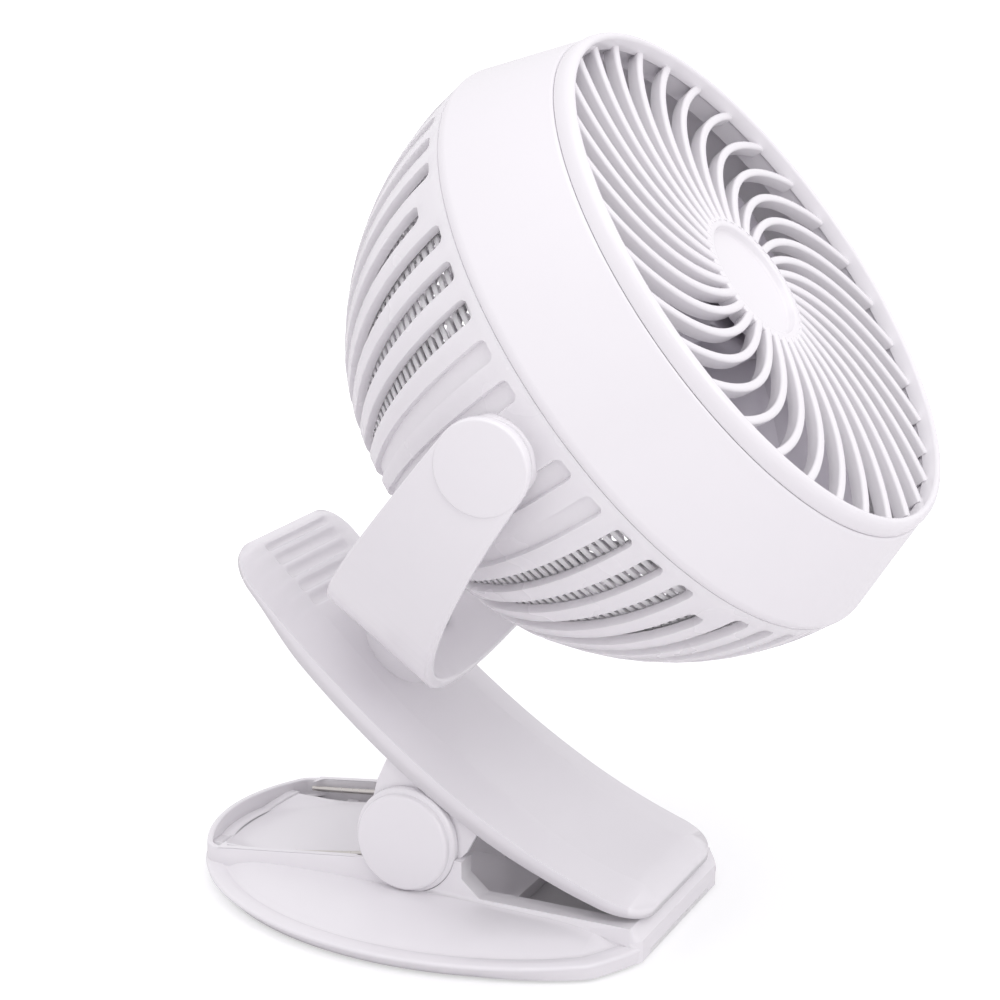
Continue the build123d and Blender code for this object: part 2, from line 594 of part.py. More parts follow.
# ---- yoke -------------------------------------------------------------------------------------
def yoke_bow():
    """Half ring with parallel ends, wider at the bottom, with a boss inside each end."""
    inner = BOW_R - BOW_T
    low_outer = ThreePointArc((-BOW_R, -BOW_STRAIGHT), (0, BOW_LOW), (BOW_R, -BOW_STRAIGHT))
    low_inner = ThreePointArc((-inner, -BOW_STRAIGHT), (0, BOW_LOW + BOW_T), (inner, -BOW_STRAIGHT))
    top = BOW_END_R + 1.0
    sides = [
        Polyline((-BOW_R, -BOW_STRAIGHT), (-BOW_R, top), (-inner, top), (-inner, -BOW_STRAIGHT)),
        Polyline((BOW_R, -BOW_STRAIGHT), (BOW_R, top), (inner, top), (inner, -BOW_STRAIGHT)),
    ]
    face = make_face(Curve() + [low_outer, low_inner] + sides)
    ring = Plane.YZ * extrude(face, BOW_HALF_LOW + 2, both=True)

    mid = -(BOW_STRAIGHT + BOW_R * math.sin(math.radians(30.0)))
    right = ThreePointArc((BOW_END_R, 0), (BOW_HALF_MID, mid), (BOW_HALF_LOW, BOW_LOW))
    left = ThreePointArc((-BOW_END_R, 0), (-BOW_HALF_MID, mid), (-BOW_HALF_LOW, BOW_LOW))
    end = ThreePointArc((-BOW_END_R, 0), (0, BOW_END_R), (BOW_END_R, 0))
    foot = Polyline((-BOW_HALF_LOW, BOW_LOW), (-BOW_HALF_LOW, BOW_LOW - 3), (BOW_HALF_LOW, BOW_LOW - 3),
                    (BOW_HALF_LOW, BOW_LOW))
    front = Rot(90, 0, 0) * make_face(Curve() + [right, left, end, foot])
    strip = ring & extrude(front, 2 * BOW_R, both=True)

    boss = disc_y(TILT_BOSS_R, inner + 0.01, inner - TILT_BOSS_T)
    boss += disc_y(TILT_BOSS_R, inner, inner + 0.5)
    strip += both_sides(boss)
    strip -= both_sides(disc_y(TILT_RECESS_R, BOW_R - TILT_RECESS, BOW_R + 5))
    strip -= both_sides(disc_y(TILT_CAP_R + 0.1, BOW_R - TILT_CAP_T, BOW_R + 5))
    strip -= disc_y(TILT_HOLE_R, -BOW_R, BOW_R)
    strip -= rod(SWIVEL_R + RUN_GAP, BOW_LOW - 1, BOW_LOW + BOW_T + 1)
    strip -= rod(SWIVEL_HEAD_R + SIDE_GAP, BOW_LOW + SWIVEL_SEAT_T, BOW_LOW + BOW_T + 3)
    return YOKE_FRAME * strip


def tilt_caps():
    """Covers over the yoke's ends, with a short skirt that stands in the screw's recess."""
    cap = disc_y(TILT_CAP_R, BOW_R - TILT_CAP_T, BOW_R)
    cap += disc_y(TILT_RECESS_R - 0.1, BOW_R - TILT_RECESS, BOW_R - TILT_CAP_T)
    cap -= disc_y(TILT_RECESS_R - 1.3, BOW_R - TILT_RECESS - 1, BOW_R - TILT_CAP_T)
    return [YOKE_FRAME * s for s in both_sides(cap)]


# ---- head: all in the head's own frame, axis along Z, seam at z = 0 ----------------------------
def bowl_edge(shift=0.0):
    """Outer line of the bowl from the seam to the flat hub, moved inwards by shift."""
    (h0, r0), (h1, r1), (h2, r2) = BOWL
    knee_h, knee_r = BACK_KNEE
    side = ThreePointArc((r0 - shift, h0), (r1 - shift * 0.86, h1 + shift * 0.5), (r2 - shift * 0.66, h2 + shift * 0.75))
    back = ThreePointArc(side @ 1, (knee_r - shift * 0.45, knee_h + shift * 0.9), (BACK_R, BACK_H + shift))
    return side, back


def bowl_region(shift0, shift1, inner_r, front):
    """Closed band of the bowl between two depths, from the height front to the radius inner_r."""
    outer_side, outer_back = bowl_edge(shift0)
    inner_side, inner_back = bowl_edge(shift1)
    seam = Line(outer_side @ 0, inner_side @ 0)
    hub = Line(outer_back @ 1, inner_back @ 1)
    face = make_face(Curve() + [outer_side, outer_back, hub, inner_side, inner_back, seam])
    reach = 2 * SEAM_R
    cut = Pos((inner_r + reach) / 2, (front - reach) / 2 + 0.0) * Rectangle(reach - inner_r, reach + front)
    return face & cut


def slot_wedge(front, depth0, depth1, degrees):
    """Cutter for one slot of the bowl."""
    face = Rot(90, 0, 0) * bowl_region(depth0, depth1, SLOT_INNER_R, front)
    return Rot(0, 0, -degrees / 2) * revolve(face, axis=Axis.Z, revolution_arc=degrees)


def screw_spots():
    return [45.0 + 90.0 * i for i in range(4)]


def rear_shell():
    outer_side, outer_back = bowl_edge(0)
    inner_side, inner_back = bowl_edge(WALL)
    body = turned(
        outer_side, outer_back,
        Polyline(outer_back @ 1, (0, BACK_H), (0, BACK_H + WALL), inner_back @ 1),
        inner_side, inner_back, Line(outer_side @ 0, inner_side @ 0))
    lip_r = SEAM_R - WALL
    lip = tube(lip_r, lip_r - LIP_T, -LIP, LIP - 0.6)
    for angle in screw_spots():
        lip -= Rot(0, 0, angle) * Pos(SCREW_CIRCLE, 0, 0) * rod(SCREW_BOSS_R + SIDE_GAP, 0, LIP)
    body += lip
    step = 360.0 / SLOT_COUNT
    short = {round(a / step) for a in screw_spots()}
    quarter = SLOT_COUNT // 4
    pivots = {quarter, 3 * quarter}
    blind = {side + k * way for side in pivots for k in range(1, BLIND_SLOTS + 1) for way in (-1, 1)}
    plain = [i for i in range(SLOT_COUNT) if i not in short and i not in blind and i not in pivots]
    long_cut = slot_wedge(SLOT_FRONT, -3.0, WALL + 0.4, SLOT_DEG)
    short_cut = slot_wedge(SLOT_SHORT_FRONT, -3.0, WALL + 0.4, SLOT_DEG)
    blind_cut = slot_wedge(SLOT_FRONT, -3.0, BLIND_DEPTH, SLOT_DEG)
    body -= [Rot(0, 0, i * step) * long_cut for i in plain]
    body -= [Rot(0, 0, i * step) * short_cut for i in sorted(short)]
    body -= [Rot(0, 0, i * step) * blind_cut for i in sorted(blind)]

    bosses = []
    for angle in screw_spots():
        spot = Rot(0, 0, angle) * Pos(SCREW_CIRCLE, 0, 0)
        bosses.append(spot * rod(SCREW_BOSS_R, SCREW_SEAT, 0))
    envelope = turned(outer_side, outer_back, Polyline(outer_back @ 1, (0, BACK_H), (0, 0), outer_side @ 0))
    body += [boss & envelope for boss in bosses]
    for angle in screw_spots():
        spot = Rot(0, 0, angle) * Pos(SCREW_CIRCLE, 0, 0)
        body -= spot * rod(SCREW_R + 0.15, -40, 5)
        body -= spot * rod(SCREW_HEAD_R + 0.15, -40, SCREW_SEAT)

    tilt = Pos(0, 0, -PIVOT_BEHIND)
    pads = both_sides(disc_y(TILT_BOSS_R, TILT_FLAT - 7.0, TILT_FLAT))
    for pad in pads:
        body += tilt * pad
    body -= [tilt * cut for cut in both_sides(disc_y(TILT_HOLE_R, TILT_FLAT - 8, TILT_FLAT + 1))]

    body -= Pos(BUTTON_X, 0, 0) * rod(BUTTON_R + 0.1, BACK_H - 1, BACK_H + WALL + 1)
    body -= Pos(LENS_X, 0, 0) * rod(LENS_R, BACK_H - 1, BACK_H + WALL + 1)
    body -= Pos(PORT_X, 0, BACK_H) * Box(PORT_H, PORT_W, 3 * WALL)
    return body


def front_band():
    """Conical ring between the seam and the bezel."""
    inner = WALL
    body = turned_loop([
        (SEAM_R, 0.05), (SHOULDER_R, SHOULDER_H), (BAND_R, BAND_H - GROOVE), (BAND_R - inner, BAND_H - GROOVE),
        (SHOULDER_R - inner, SHOULDER_H + 1.0), (SEAM_R - inner, 0.05)])
    for angle in screw_spots():
        spot = Rot(0, 0, angle) * Pos(SCREW_CIRCLE, 0, 0)
        body += spot * rod(SCREW_BOSS_R, 0.05, SCREW_LEN + SCREW_SEAT + 4.0) & rod(SHOULDER_R - 0.4, 0, 30)
        rib = Rot(0, 0, angle) * block(SCREW_CIRCLE, SHOULDER_R - 1.0, -0.8, 0.8, 0.05, SCREW_LEN + SCREW_SEAT + 4.0)
        body += rib & rod(SHOULDER_R - 0.8, 0, 30)
    for angle in screw_spots():
        body -= Rot(0, 0, angle) * Pos(SCREW_CIRCLE, 0, 0) * rod(SCREW_R, -1, SCREW_LEN + SCREW_SEAT + 0.2)
    return body


def housing_screws():
    screw = rod(SCREW_R, SCREW_SEAT, SCREW_SEAT + SCREW_LEN) + rod(SCREW_HEAD_R, SCREW_SEAT - SCREW_HEAD_T, SCREW_SEAT)
    return [Rot(0, 0, a) * Pos(SCREW_CIRCLE, 0, 0) * screw for a in screw_spots()]


def grille_rib():
    """One rib: swept back from the hub to the bezel, straight up and down."""
    steps = 5
    near, far = HUB_R - 1.5, BEZEL_R + 0.8
    line = []
    for i in range(steps + 1):
        s = i / steps
        radius = near + (far - near) * s
        turn = RIB_SWEEP * (s + RIB_EASE * math.sin(2 * math.pi * (s - 0.5)) + RIB_LATE * math.sin(math.pi * s))
        angle = math.radians(-turn)
        line.append((radius * math.cos(angle), radius * math.sin(angle)))
    centre = Spline(*line)
    face = trace(centre, line_width=RIB_W)
    return Pos(0, 0, RIB_TOP - RIB_DEPTH) * extrude(face, RIB_DEPTH)


def front_grille():
    skirt_r = BAND_R - WALL - 0.15
    body = turned_loop([
        (BAND_R, BAND_H), (BAND_R - 0.3, BEZEL_H - 1.8), (BAND_R - 1.4, BEZEL_H - 0.4), (BEZEL_R + 0.6, BEZEL_H),
        (BEZEL_R, BEZEL_H - 0.5), (BEZEL_R - 0.3, RIB_TOP - RIB_DEPTH), (skirt_r - SKIRT_T, RIB_TOP - RIB_DEPTH),
        (skirt_r - SKIRT_T, BAND_H - SKIRT_DEPTH), (skirt_r, BAND_H - SKIRT_DEPTH), (skirt_r, BAND_H)])
    hub = turned_loop([
        (0, HUB_TOP - HUB_DISH), (HUB_DISH_R, HUB_TOP - HUB_DISH), (HUB_DISH_R + 0.9, HUB_TOP), (HUB_R - 0.5, HUB_TOP),
        (HUB_R, HUB_TOP - 0.5), (HUB_R, HUB_TOP - HUB_T), (HUB_R - 1.8, HUB_TOP - HUB_T),
        (HUB_R - 1.8, HUB_TOP - HUB_DISH - 1.8), (0, HUB_TOP - HUB_DISH - 1.8)])
    ribs = ring_of(grille_rib(), RIB_COUNT, RIB_END_ANGLE + RIB_SWEEP)
    return body + hub + ribs


def inner_guard():
    """Finger guard inside the bowl: rings carried by bars, ending in a ring round the control pod."""
    shift0, shift1 = WALL + GUARD_GAP, WALL + GUARD_GAP + GUARD_T
    reach = 2 * SEAM_R
    full = bowl_region(shift0, shift1, GUARD_BACK_R, GUARD_FRONT)
    depth = abs(BOWL[2][0]) + GUARD_FRONT
    pitch = depth / GUARD_RINGS
    rings = []
    for i in range(GUARD_RINGS):
        h = GUARD_FRONT - i * pitch
        band = Pos(reach / 2, h - GUARD_RING_W / 2) * Rectangle(reach, GUARD_RING_W)
        rings.append(revolve(Rot(90, 0, 0) * (full & band), axis=Axis.Z))
    bar = revolve(Rot(90, 0, 0) * full, axis=Axis.Z, revolution_arc=GUARD_BAR_DEG)
    bars = ring_of(Rot(0, 0, -GUARD_BAR_DEG / 2) * bar, GUARD_BARS, 360.0 / SLOT_COUNT / 2)
    back_band = Pos(GUARD_BACK_R + 1.5, BACK_H / 2) * Rectangle(3.0, reach)
    back_ring = revolve(Rot(90, 0, 0) * (full & back_band), axis=Axis.Z)
    body = rings[0] + rings[1:] + bars + back_ring
    tilt = Pos(0, 0, -PIVOT_BEHIND)
    body -= [tilt * cut for cut in both_sides(disc_y(TILT_BOSS_R + 0.5, TILT_FLAT - 9, SEAM_R))]
    for angle in screw_spots():
        body -= Rot(0, 0, angle) * Pos(SCREW_CIRCLE, 0, 0) * rod(SCREW_BOSS_R + 0.5, -40, 5)
    return body


def motor_mount():
    """Cup for the motor on a plate that closes the control pod, carried by the guard's back ring."""
    cup_back = MOTOR_FRONT - MOTOR_LEN - MOTOR_CUP_T
    cup = tube(MOTOR_R + MOTOR_CUP_T, MOTOR_R, cup_back, MOTOR_FRONT - 4.0)
    cup += rod(MOTOR_R + MOTOR_CUP_T, cup_back, cup_back + MOTOR_CUP_T)
    neck = tube(MOTOR_R + MOTOR_CUP_T, MOTOR_R - 1.0, PLATE_BACK, cup_back)
    plate = rod(POD_R, PLATE_BACK, PLATE_BACK + PLATE_T)
    fins = [Rot(0, 0, a) * block(MOTOR_R, POD_R - 1.0, -0.9, 0.9, PLATE_BACK + PLATE_T - 0.1, cup_back + 2)
            for a in (0, 60, 120, 180, 240, 300)]
    return cup + neck + plate + fins


def control_pod():
    """Round housing behind the motor mount. Its foot stands on the shell's flat hub."""
    wall = tube(POD_R, POD_R - POD_T, BACK_H + WALL, PLATE_BACK)
    flange = tube(GUARD_BACK_R + 2.6, POD_R - POD_T, BACK_H + WALL, BACK_H + WALL + 1.2)
    return wall + flange & rod(BACK_R + 1.0, BACK_H + WALL, PLATE_BACK)


def motor_can():
    back = MOTOR_FRONT - MOTOR_LEN
    can = rod(MOTOR_R - 0.02, back, MOTOR_FRONT) - rod(ARMATURE_R + 0.8, back + 1.0, MOTOR_FRONT - 1.0)
    can += tube(MOTOR_BOSS_R, SHAFT_R + 0.3, MOTOR_FRONT, MOTOR_FRONT + MOTOR_BOSS_T)
    return can - rod(BUSH_R, back + 0.5, MOTOR_FRONT + MOTOR_BOSS_T)


def motor_bushes():
    back = MOTOR_FRONT - MOTOR_LEN
    rear = tube(BUSH_R, SHAFT_R + RUN_GAP, back + 0.5, back + 0.5 + BUSH_T)
    front_top = MOTOR_FRONT + MOTOR_BOSS_T
    return rear, tube(BUSH_R, SHAFT_R + RUN_GAP, front_top - BUSH_T, front_top)


def motor_shaft():
    back = MOTOR_FRONT - MOTOR_LEN
    return rod(SHAFT_R, back + 0.8, SHAFT_FRONT)


def armature():
    middle = MOTOR_FRONT - MOTOR_LEN / 2
    return tube(ARMATURE_R, SHAFT_R, middle - ARMATURE_LEN / 2, middle + ARMATURE_LEN / 2)


def impeller_blade():
    """Twisted blade: a ruled sheet from the hub to the tip, given its thickness along the axis."""
    root, tip = CONE_R - 1.0, BLADE_R
    sections = []
    for i in range(4):
        s = i / 3
        radius = root + (tip - root) * s
        width = radius * math.radians(BLADE_SWEEP) * (1.0 - 0.12 * s) * 0.9
        rise = (BLADE_FRONT - BLADE_BACK) * (1.0 - 0.30 * s)
        pitch = math.atan2(rise, width)
        chord = math.hypot(rise, width)
        lead = math.radians(-14.0 * s)
        middle = (BLADE_FRONT + BLADE_BACK) / 2
        plane = Plane(
            origin=(radius * math.cos(lead), radius * math.sin(lead), middle),
            x_dir=(-math.sin(lead) * math.cos(pitch), math.cos(lead) * math.cos(pitch), math.sin(pitch)),
            z_dir=(math.cos(lead), math.sin(lead), 0))
        sections.append(plane * Rectangle(chord, BLADE_T))
    return loft(sections, ruled=True)


def impeller():
    cup = turned(
        Polyline((0, CONE_FRONT), (CONE_R - 5.0, CONE_FRONT)),
        ThreePointArc((CONE_R - 5.0, CONE_FRONT), (CONE_R - 1.4, CONE_FRONT - 1.5), (CONE_R, CONE_FRONT - 5.0)),
        Polyline((CONE_R, CONE_FRONT - 5.0), (CONE_R, CONE_BACK), (CONE_R - CONE_T, CONE_BACK),
                 (CONE_R - CONE_T, CONE_FRONT - 4.0), (CONE_R - 6.0, CONE_FRONT - CONE_T), (0, CONE_FRONT - CONE_T),
                 (0, CONE_FRONT)))
    limit = rod(BLADE_R, CONE_BACK, CONE_FRONT) - rod(CONE_R - 0.5, CONE_BACK - 1, CONE_FRONT + 1)
    blade = impeller_blade() & limit
    body = cup + ring_of(blade, BLADES)
    body += rod(INSERT_R + 1.4, CONE_FRONT - CONE_T - INSERT_LEN, CONE_FRONT - 0.5)
    body -= rod(INSERT_R, CONE_FRONT - CONE_T - INSERT_LEN - 1, CONE_FRONT - CONE_T)
    return body


def shaft_insert():
    top = CONE_FRONT - CONE_T
    return rod(INSERT_R, top - INSERT_LEN, top) - rod(SHAFT_R, top - INSERT_LEN - 1, SHAFT_FRONT)


def battery_cell():
    cell = Pos(0, 0, CELL_H - CELL_T / 2 + 8.6) * Box(CELL_L, CELL_W, CELL_T)
    return fillet(cell.edges().filter_by(Axis.Z), 2.0)


def battery_cradle():
    """Frame that holds the cell against the motor mount's plate."""
    outer = Box(CELL_L + 2.4, CELL_W + 2.4, CELL_T - 1.0) - Box(CELL_L + 0.2, CELL_W + 0.2, CELL_T)
    cradle = Pos(0, 0, PLATE_BACK - (CELL_T - 1.0) / 2) * outer
    return cradle


def circuit_board():
    board = rod(BOARD_R, BOARD_H, BOARD_H + BOARD_T)
    return board


def board_posts():
    """Four posts that carry the board off the shell's hub."""
    spot = BOARD_R - 3.0
    return [Rot(0, 0, a) * Pos(spot, 0, 0) * rod(1.8, BACK_H + WALL, BOARD_H) for a in (45, 135, 225, 315)]


def power_button():
    low = BACK_H - BUTTON_PROUD
    body = rod(BUTTON_R, low, low + BUTTON_LEN)
    body = fillet(body.edges().group_by(Axis.Z)[0], 0.6)
    flange_at = BACK_H + WALL + 0.1
    body += rod(BUTTON_FLANGE_R, flange_at, flange_at + BUTTON_FLANGE_T)
    return Pos(BUTTON_X, 0, 0) * body


def switch_body():
    return Pos(BUTTON_X, 0, BOARD_H - SWITCH_T / 2) * Box(SWITCH_W, SWITCH_W, SWITCH_T)


def indicator_lens():
    return Pos(LENS_X, 0, 0) * rod(LENS_R, BACK_H - 0.2, BOARD_H)


def charging_socket():
    shell = Box(PORT_H, PORT_W, PORT_LEN)
    shell = fillet(shell.edges().filter_by(Axis.Z), PORT_H / 2 - 0.05)
    hollow = Box(PORT_H - 2 * PORT_WALL, PORT_W - 2 * PORT_WALL, PORT_LEN)
    hollow = fillet(hollow.edges().filter_by(Axis.Z), (PORT_H - 2 * PORT_WALL) / 2 - 0.05)
    tongue = Pos(0, 0, 1.2) * Box(0.7, PORT_W - 3.0, PORT_LEN - 2.4)
    shell = shell - Pos(0, 0, -1.0) * hollow + tongue
    return Pos(PORT_X, 0, BACK_H + 0.3 + PORT_LEN / 2) * shell


def tilt_screws():
    """Screws through the yoke's ends into the head."""
    inside = TILT_FLAT - 6.0
    seat = BOW_R - TILT_RECESS + RUN_GAP
    shank = disc_y(TILT_SCREW_R, inside, seat)
    sleeve = disc_y(TILT_HOLE_R - RUN_GAP, TILT_FLAT, seat)
    head = disc_y(TILT_HEAD_R, seat, seat + TILT_HEAD_T)
    return [YOKE_FRAME * s for s in both_sides(shank + sleeve + head)]


def tilt_inserts():
    """Metal inserts in the head's sides, which the screws hold."""
    insert = disc_y(TILT_HOLE_R, TILT_FLAT - 7.0, TILT_FLAT) - disc_y(TILT_SCREW_R, TILT_FLAT - 8, TILT_FLAT + 1)
    return [YOKE_FRAME * s for s in both_sides(insert)]


def tilt_washers():
    washer = disc_y(TILT_WASHER_R, TILT_FLAT, TILT_FLAT + TILT_WASHER_T)
    washer -= disc_y(TILT_HOLE_R, TILT_FLAT - 1, TILT_FLAT + 2)
    return [YOKE_FRAME * s for s in both_sides(washer)]


# ---- build ------------------------------------------------------------------------------------
os.makedirs("parts", exist_ok=True)

save("base_shell", base_shell())
save("base_plate", base_plate())
save("plate_screws", *plate_screws())
save("foot_mat", foot_mat())
save("spring_cover", spring_cover())
save("clip_axle", clip_axle())
save("pivot_caps", *pivot_caps())
save("clip_spring_left", spring(1))
save("clip_spring_right", spring(-1))
pad_upper, pad_lower = jaw_pads()
save("jaw_pad_upper", pad_upper)
save("jaw_pad_lower", pad_lower)
save("arm_shell", arm_shell())
save("swivel_seat", swivel_seat())
save("swivel_bolt", swivel_bolt())
save("swivel_washer", swivel_washer())
save("swivel_nut", swivel_nut())
save("yoke_bow", yoke_bow())
save("tilt_caps", *tilt_caps())
save("tilt_screws", *tilt_screws())
save("tilt_inserts", *tilt_inserts())
save("tilt_washers", *tilt_washers())

HEAD_PIECES = {
    "front_grille": front_grille, "front_band": front_band, "rear_shell": rear_shell, "inner_guard": inner_guard,
    "motor_mount": motor_mount, "control_pod": control_pod, "motor_can": motor_can, "motor_shaft": motor_shaft,
    "armature": armature, "impeller": impeller, "shaft_insert": shaft_insert, "battery_cell": battery_cell,
    "battery_cradle": battery_cradle, "circuit_board": circuit_board, "power_button": power_button,
    "switch_body": switch_body, "indicator_lens": indicator_lens, "charging_socket": charging_socket,
}
for name, make in HEAD_PIECES.items():
    save(name, HEAD_FRAME * make())
for name, make in {"housing_screws": housing_screws, "motor_bushes": motor_bushes, "board_posts": board_posts}.items():
    save(name, *[HEAD_FRAME * solid for solid in make()])
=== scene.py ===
import json
from math import asin, atan2, cos, exp, hypot, pi, radians, sin, sqrt

import bmesh
import bpy
from mathutils import Matrix, Vector


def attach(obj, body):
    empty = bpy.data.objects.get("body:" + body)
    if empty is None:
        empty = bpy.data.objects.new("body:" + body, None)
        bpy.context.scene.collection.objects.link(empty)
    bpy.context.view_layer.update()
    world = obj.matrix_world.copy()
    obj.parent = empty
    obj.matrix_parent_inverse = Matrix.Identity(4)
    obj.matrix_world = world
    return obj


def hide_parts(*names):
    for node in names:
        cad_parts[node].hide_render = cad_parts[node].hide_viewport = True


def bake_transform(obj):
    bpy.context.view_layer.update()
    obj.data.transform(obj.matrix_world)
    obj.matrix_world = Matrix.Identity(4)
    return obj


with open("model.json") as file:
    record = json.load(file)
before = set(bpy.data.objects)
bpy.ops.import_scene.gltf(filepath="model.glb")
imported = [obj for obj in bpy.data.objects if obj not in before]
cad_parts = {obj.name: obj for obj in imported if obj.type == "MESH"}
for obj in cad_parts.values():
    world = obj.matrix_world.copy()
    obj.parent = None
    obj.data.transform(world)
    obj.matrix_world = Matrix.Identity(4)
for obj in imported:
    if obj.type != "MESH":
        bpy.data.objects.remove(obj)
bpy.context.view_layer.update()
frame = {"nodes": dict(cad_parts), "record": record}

# ---- camera: a short tele lens, a little above the fan and to the right of the clip's long side --
# The lens looks at a point just behind the middle of the fan, from about 0.6 m away.
azimuth, elevation, roll = radians(24.5), radians(14.87), radians(0.72)
back = Vector((sin(azimuth) * cos(elevation), -cos(azimuth) * cos(elevation), sin(elevation)))
level = Vector((cos(azimuth), sin(azimuth), 0))
upright = back.cross(level)
side = level * cos(roll) + upright * sin(roll)
head_up = upright * cos(roll) - level * sin(roll)
camera = bpy.data.objects.new("camera", bpy.data.cameras.new("camera"))
camera.data.sensor_width = 36.0
camera.data.lens = 88.9          # in mm, on a sensor 36 mm wide
camera.matrix_world = Matrix((side, head_up, back)).transposed().to_4x4()
camera.matrix_world.translation = Vector((0.00728, 0, 0.10024)) + back * 0.59173
bpy.context.collection.objects.link(camera)
bpy.context.scene.camera = camera

# ---- table top and light: a white paper sweep in a bright studio ------------------------------
# Soft boxes from above and from both sides, with the key on the right, towards the jaw's tip. The
# paper glows a little more further out, so that it turns to pure white there.
paper = bpy.data.materials.new("white_paper")
paper.use_nodes = True
tree = paper.node_tree
tree.nodes.clear()
out = tree.nodes.new("ShaderNodeOutputMaterial")
matt = tree.nodes.new("ShaderNodeBsdfDiffuse")
matt.inputs["Color"].default_value = (0.80, 0.79, 0.80, 1)
seen = tree.nodes.new("ShaderNodeBsdfDiffuse")
seen.inputs["Color"].default_value = (0.50, 0.50, 0.51, 1)
glow = tree.nodes.new("ShaderNodeEmission")
place = tree.nodes.new("ShaderNodeTexCoord")
away = tree.nodes.new("ShaderNodeVectorMath")
away.operation = "LENGTH"
fade = tree.nodes.new("ShaderNodeMapRange")
fade.inputs["From Min"].default_value = 0.10
fade.inputs["From Max"].default_value = 0.50
fade.inputs["To Min"].default_value = 0.56      # under the fan, where the lit paper adds the rest
fade.inputs["To Max"].default_value = 1.0
tree.links.new(place.outputs["Object"], away.inputs[0])
tree.links.new(away.outputs["Value"], fade.inputs["Value"])
tree.links.new(fade.outputs["Result"], glow.inputs["Strength"])
both = tree.nodes.new("ShaderNodeAddShader")
rays = tree.nodes.new("ShaderNodeLightPath")
direct = tree.nodes.new("ShaderNodeMath")
direct.operation = "MAXIMUM"
pick = tree.nodes.new("ShaderNodeMixShader")
tree.links.new(rays.outputs["Is Camera Ray"], direct.inputs[0])
tree.links.new(rays.outputs["Is Transmission Ray"], direct.inputs[1])
tree.links.new(seen.outputs[0], both.inputs[0])
tree.links.new(glow.outputs[0], both.inputs[1])
tree.links.new(direct.outputs[0], pick.inputs[0])
tree.links.new(matt.outputs[0], pick.inputs[1])
tree.links.new(both.outputs[0], pick.inputs[2])
tree.links.new(pick.outputs[0], out.inputs["Surface"])
sheet = bmesh.new()
bmesh.ops.create_grid(sheet, x_segments=1, y_segments=1, size=6.0)
table_mesh = bpy.data.meshes.new("table")
sheet.to_mesh(table_mesh)
sheet.free()
table = bpy.data.objects.new("table", table_mesh)
table_mesh.materials.append(paper)
bpy.context.collection.objects.link(table)

world = bpy.data.worlds.new("studio")
world.use_nodes = True
bpy.context.scene.world = world
tree = world.node_tree
tree.nodes.clear()
out = tree.nodes.new("ShaderNodeOutputWorld")
room = tree.nodes.new("ShaderNodeBackground")
room.inputs["Color"].default_value = (0.97, 0.95, 0.98, 1)
room.inputs["Strength"].default_value = 0.92
white = tree.nodes.new("ShaderNodeBackground")
white.inputs["Color"].default_value = (1, 1, 1, 1)
white.inputs["Strength"].default_value = 1.0
rays = tree.nodes.new("ShaderNodeLightPath")
pick = tree.nodes.new("ShaderNodeMixShader")
tree.links.new(rays.outputs["Is Camera Ray"], pick.inputs[0])
tree.links.new(room.outputs[0], pick.inputs[1])
tree.links.new(white.outputs[0], pick.inputs[2])
tree.links.new(pick.outputs[0], out.inputs["Surface"])

for name, place, size, power in [
    ("top_box", (0.15, -0.25, 1.15), 0.9, 3.0),
    ("right_box", (1.05, -0.45, 0.65), 0.7, 2.8),
    ("left_box", (-0.9, -0.75, 0.5), 0.9, 0.3),
]:
    lamp = bpy.data.lights.new(name, "AREA")
    lamp.shape = "SQUARE"
    lamp.size = size
    lamp.energy = power
    box = bpy.data.objects.new(name, lamp)
    box.location = place
    box.rotation_euler = (Vector(place) - Vector((0.02, 0, 0.11))).to_track_quat("Z", "Y").to_euler()
    bpy.context.collection.objects.link(box)

bpy.context.scene.view_settings.view_transform = "Standard"

# ---- front grille: bezel, 33 curled ribs and a dished hub disc, moulded in one piece ------------
# Gloss white ABS. It snaps into the front of the band, and the ribs lie flush with the hub.
millimetre = Matrix.Scale(0.001, 4)
ground_frame = Matrix.Identity(4)
axle_frame = Matrix.Translation((-0.0042, 0, 0.0207))
swivel_frame = Matrix.Translation((0.03543, 0, 0.13266)) @ Matrix.Rotation(radians(36.6), 4, "Y")
yoke_frame = swivel_frame @ Matrix.Rotation(radians(3.5), 4, "Z")
head_frame = yoke_frame @ Matrix.Rotation(radians(15.6), 4, "Y") @ Matrix.Translation((0, 0, 0.0155))


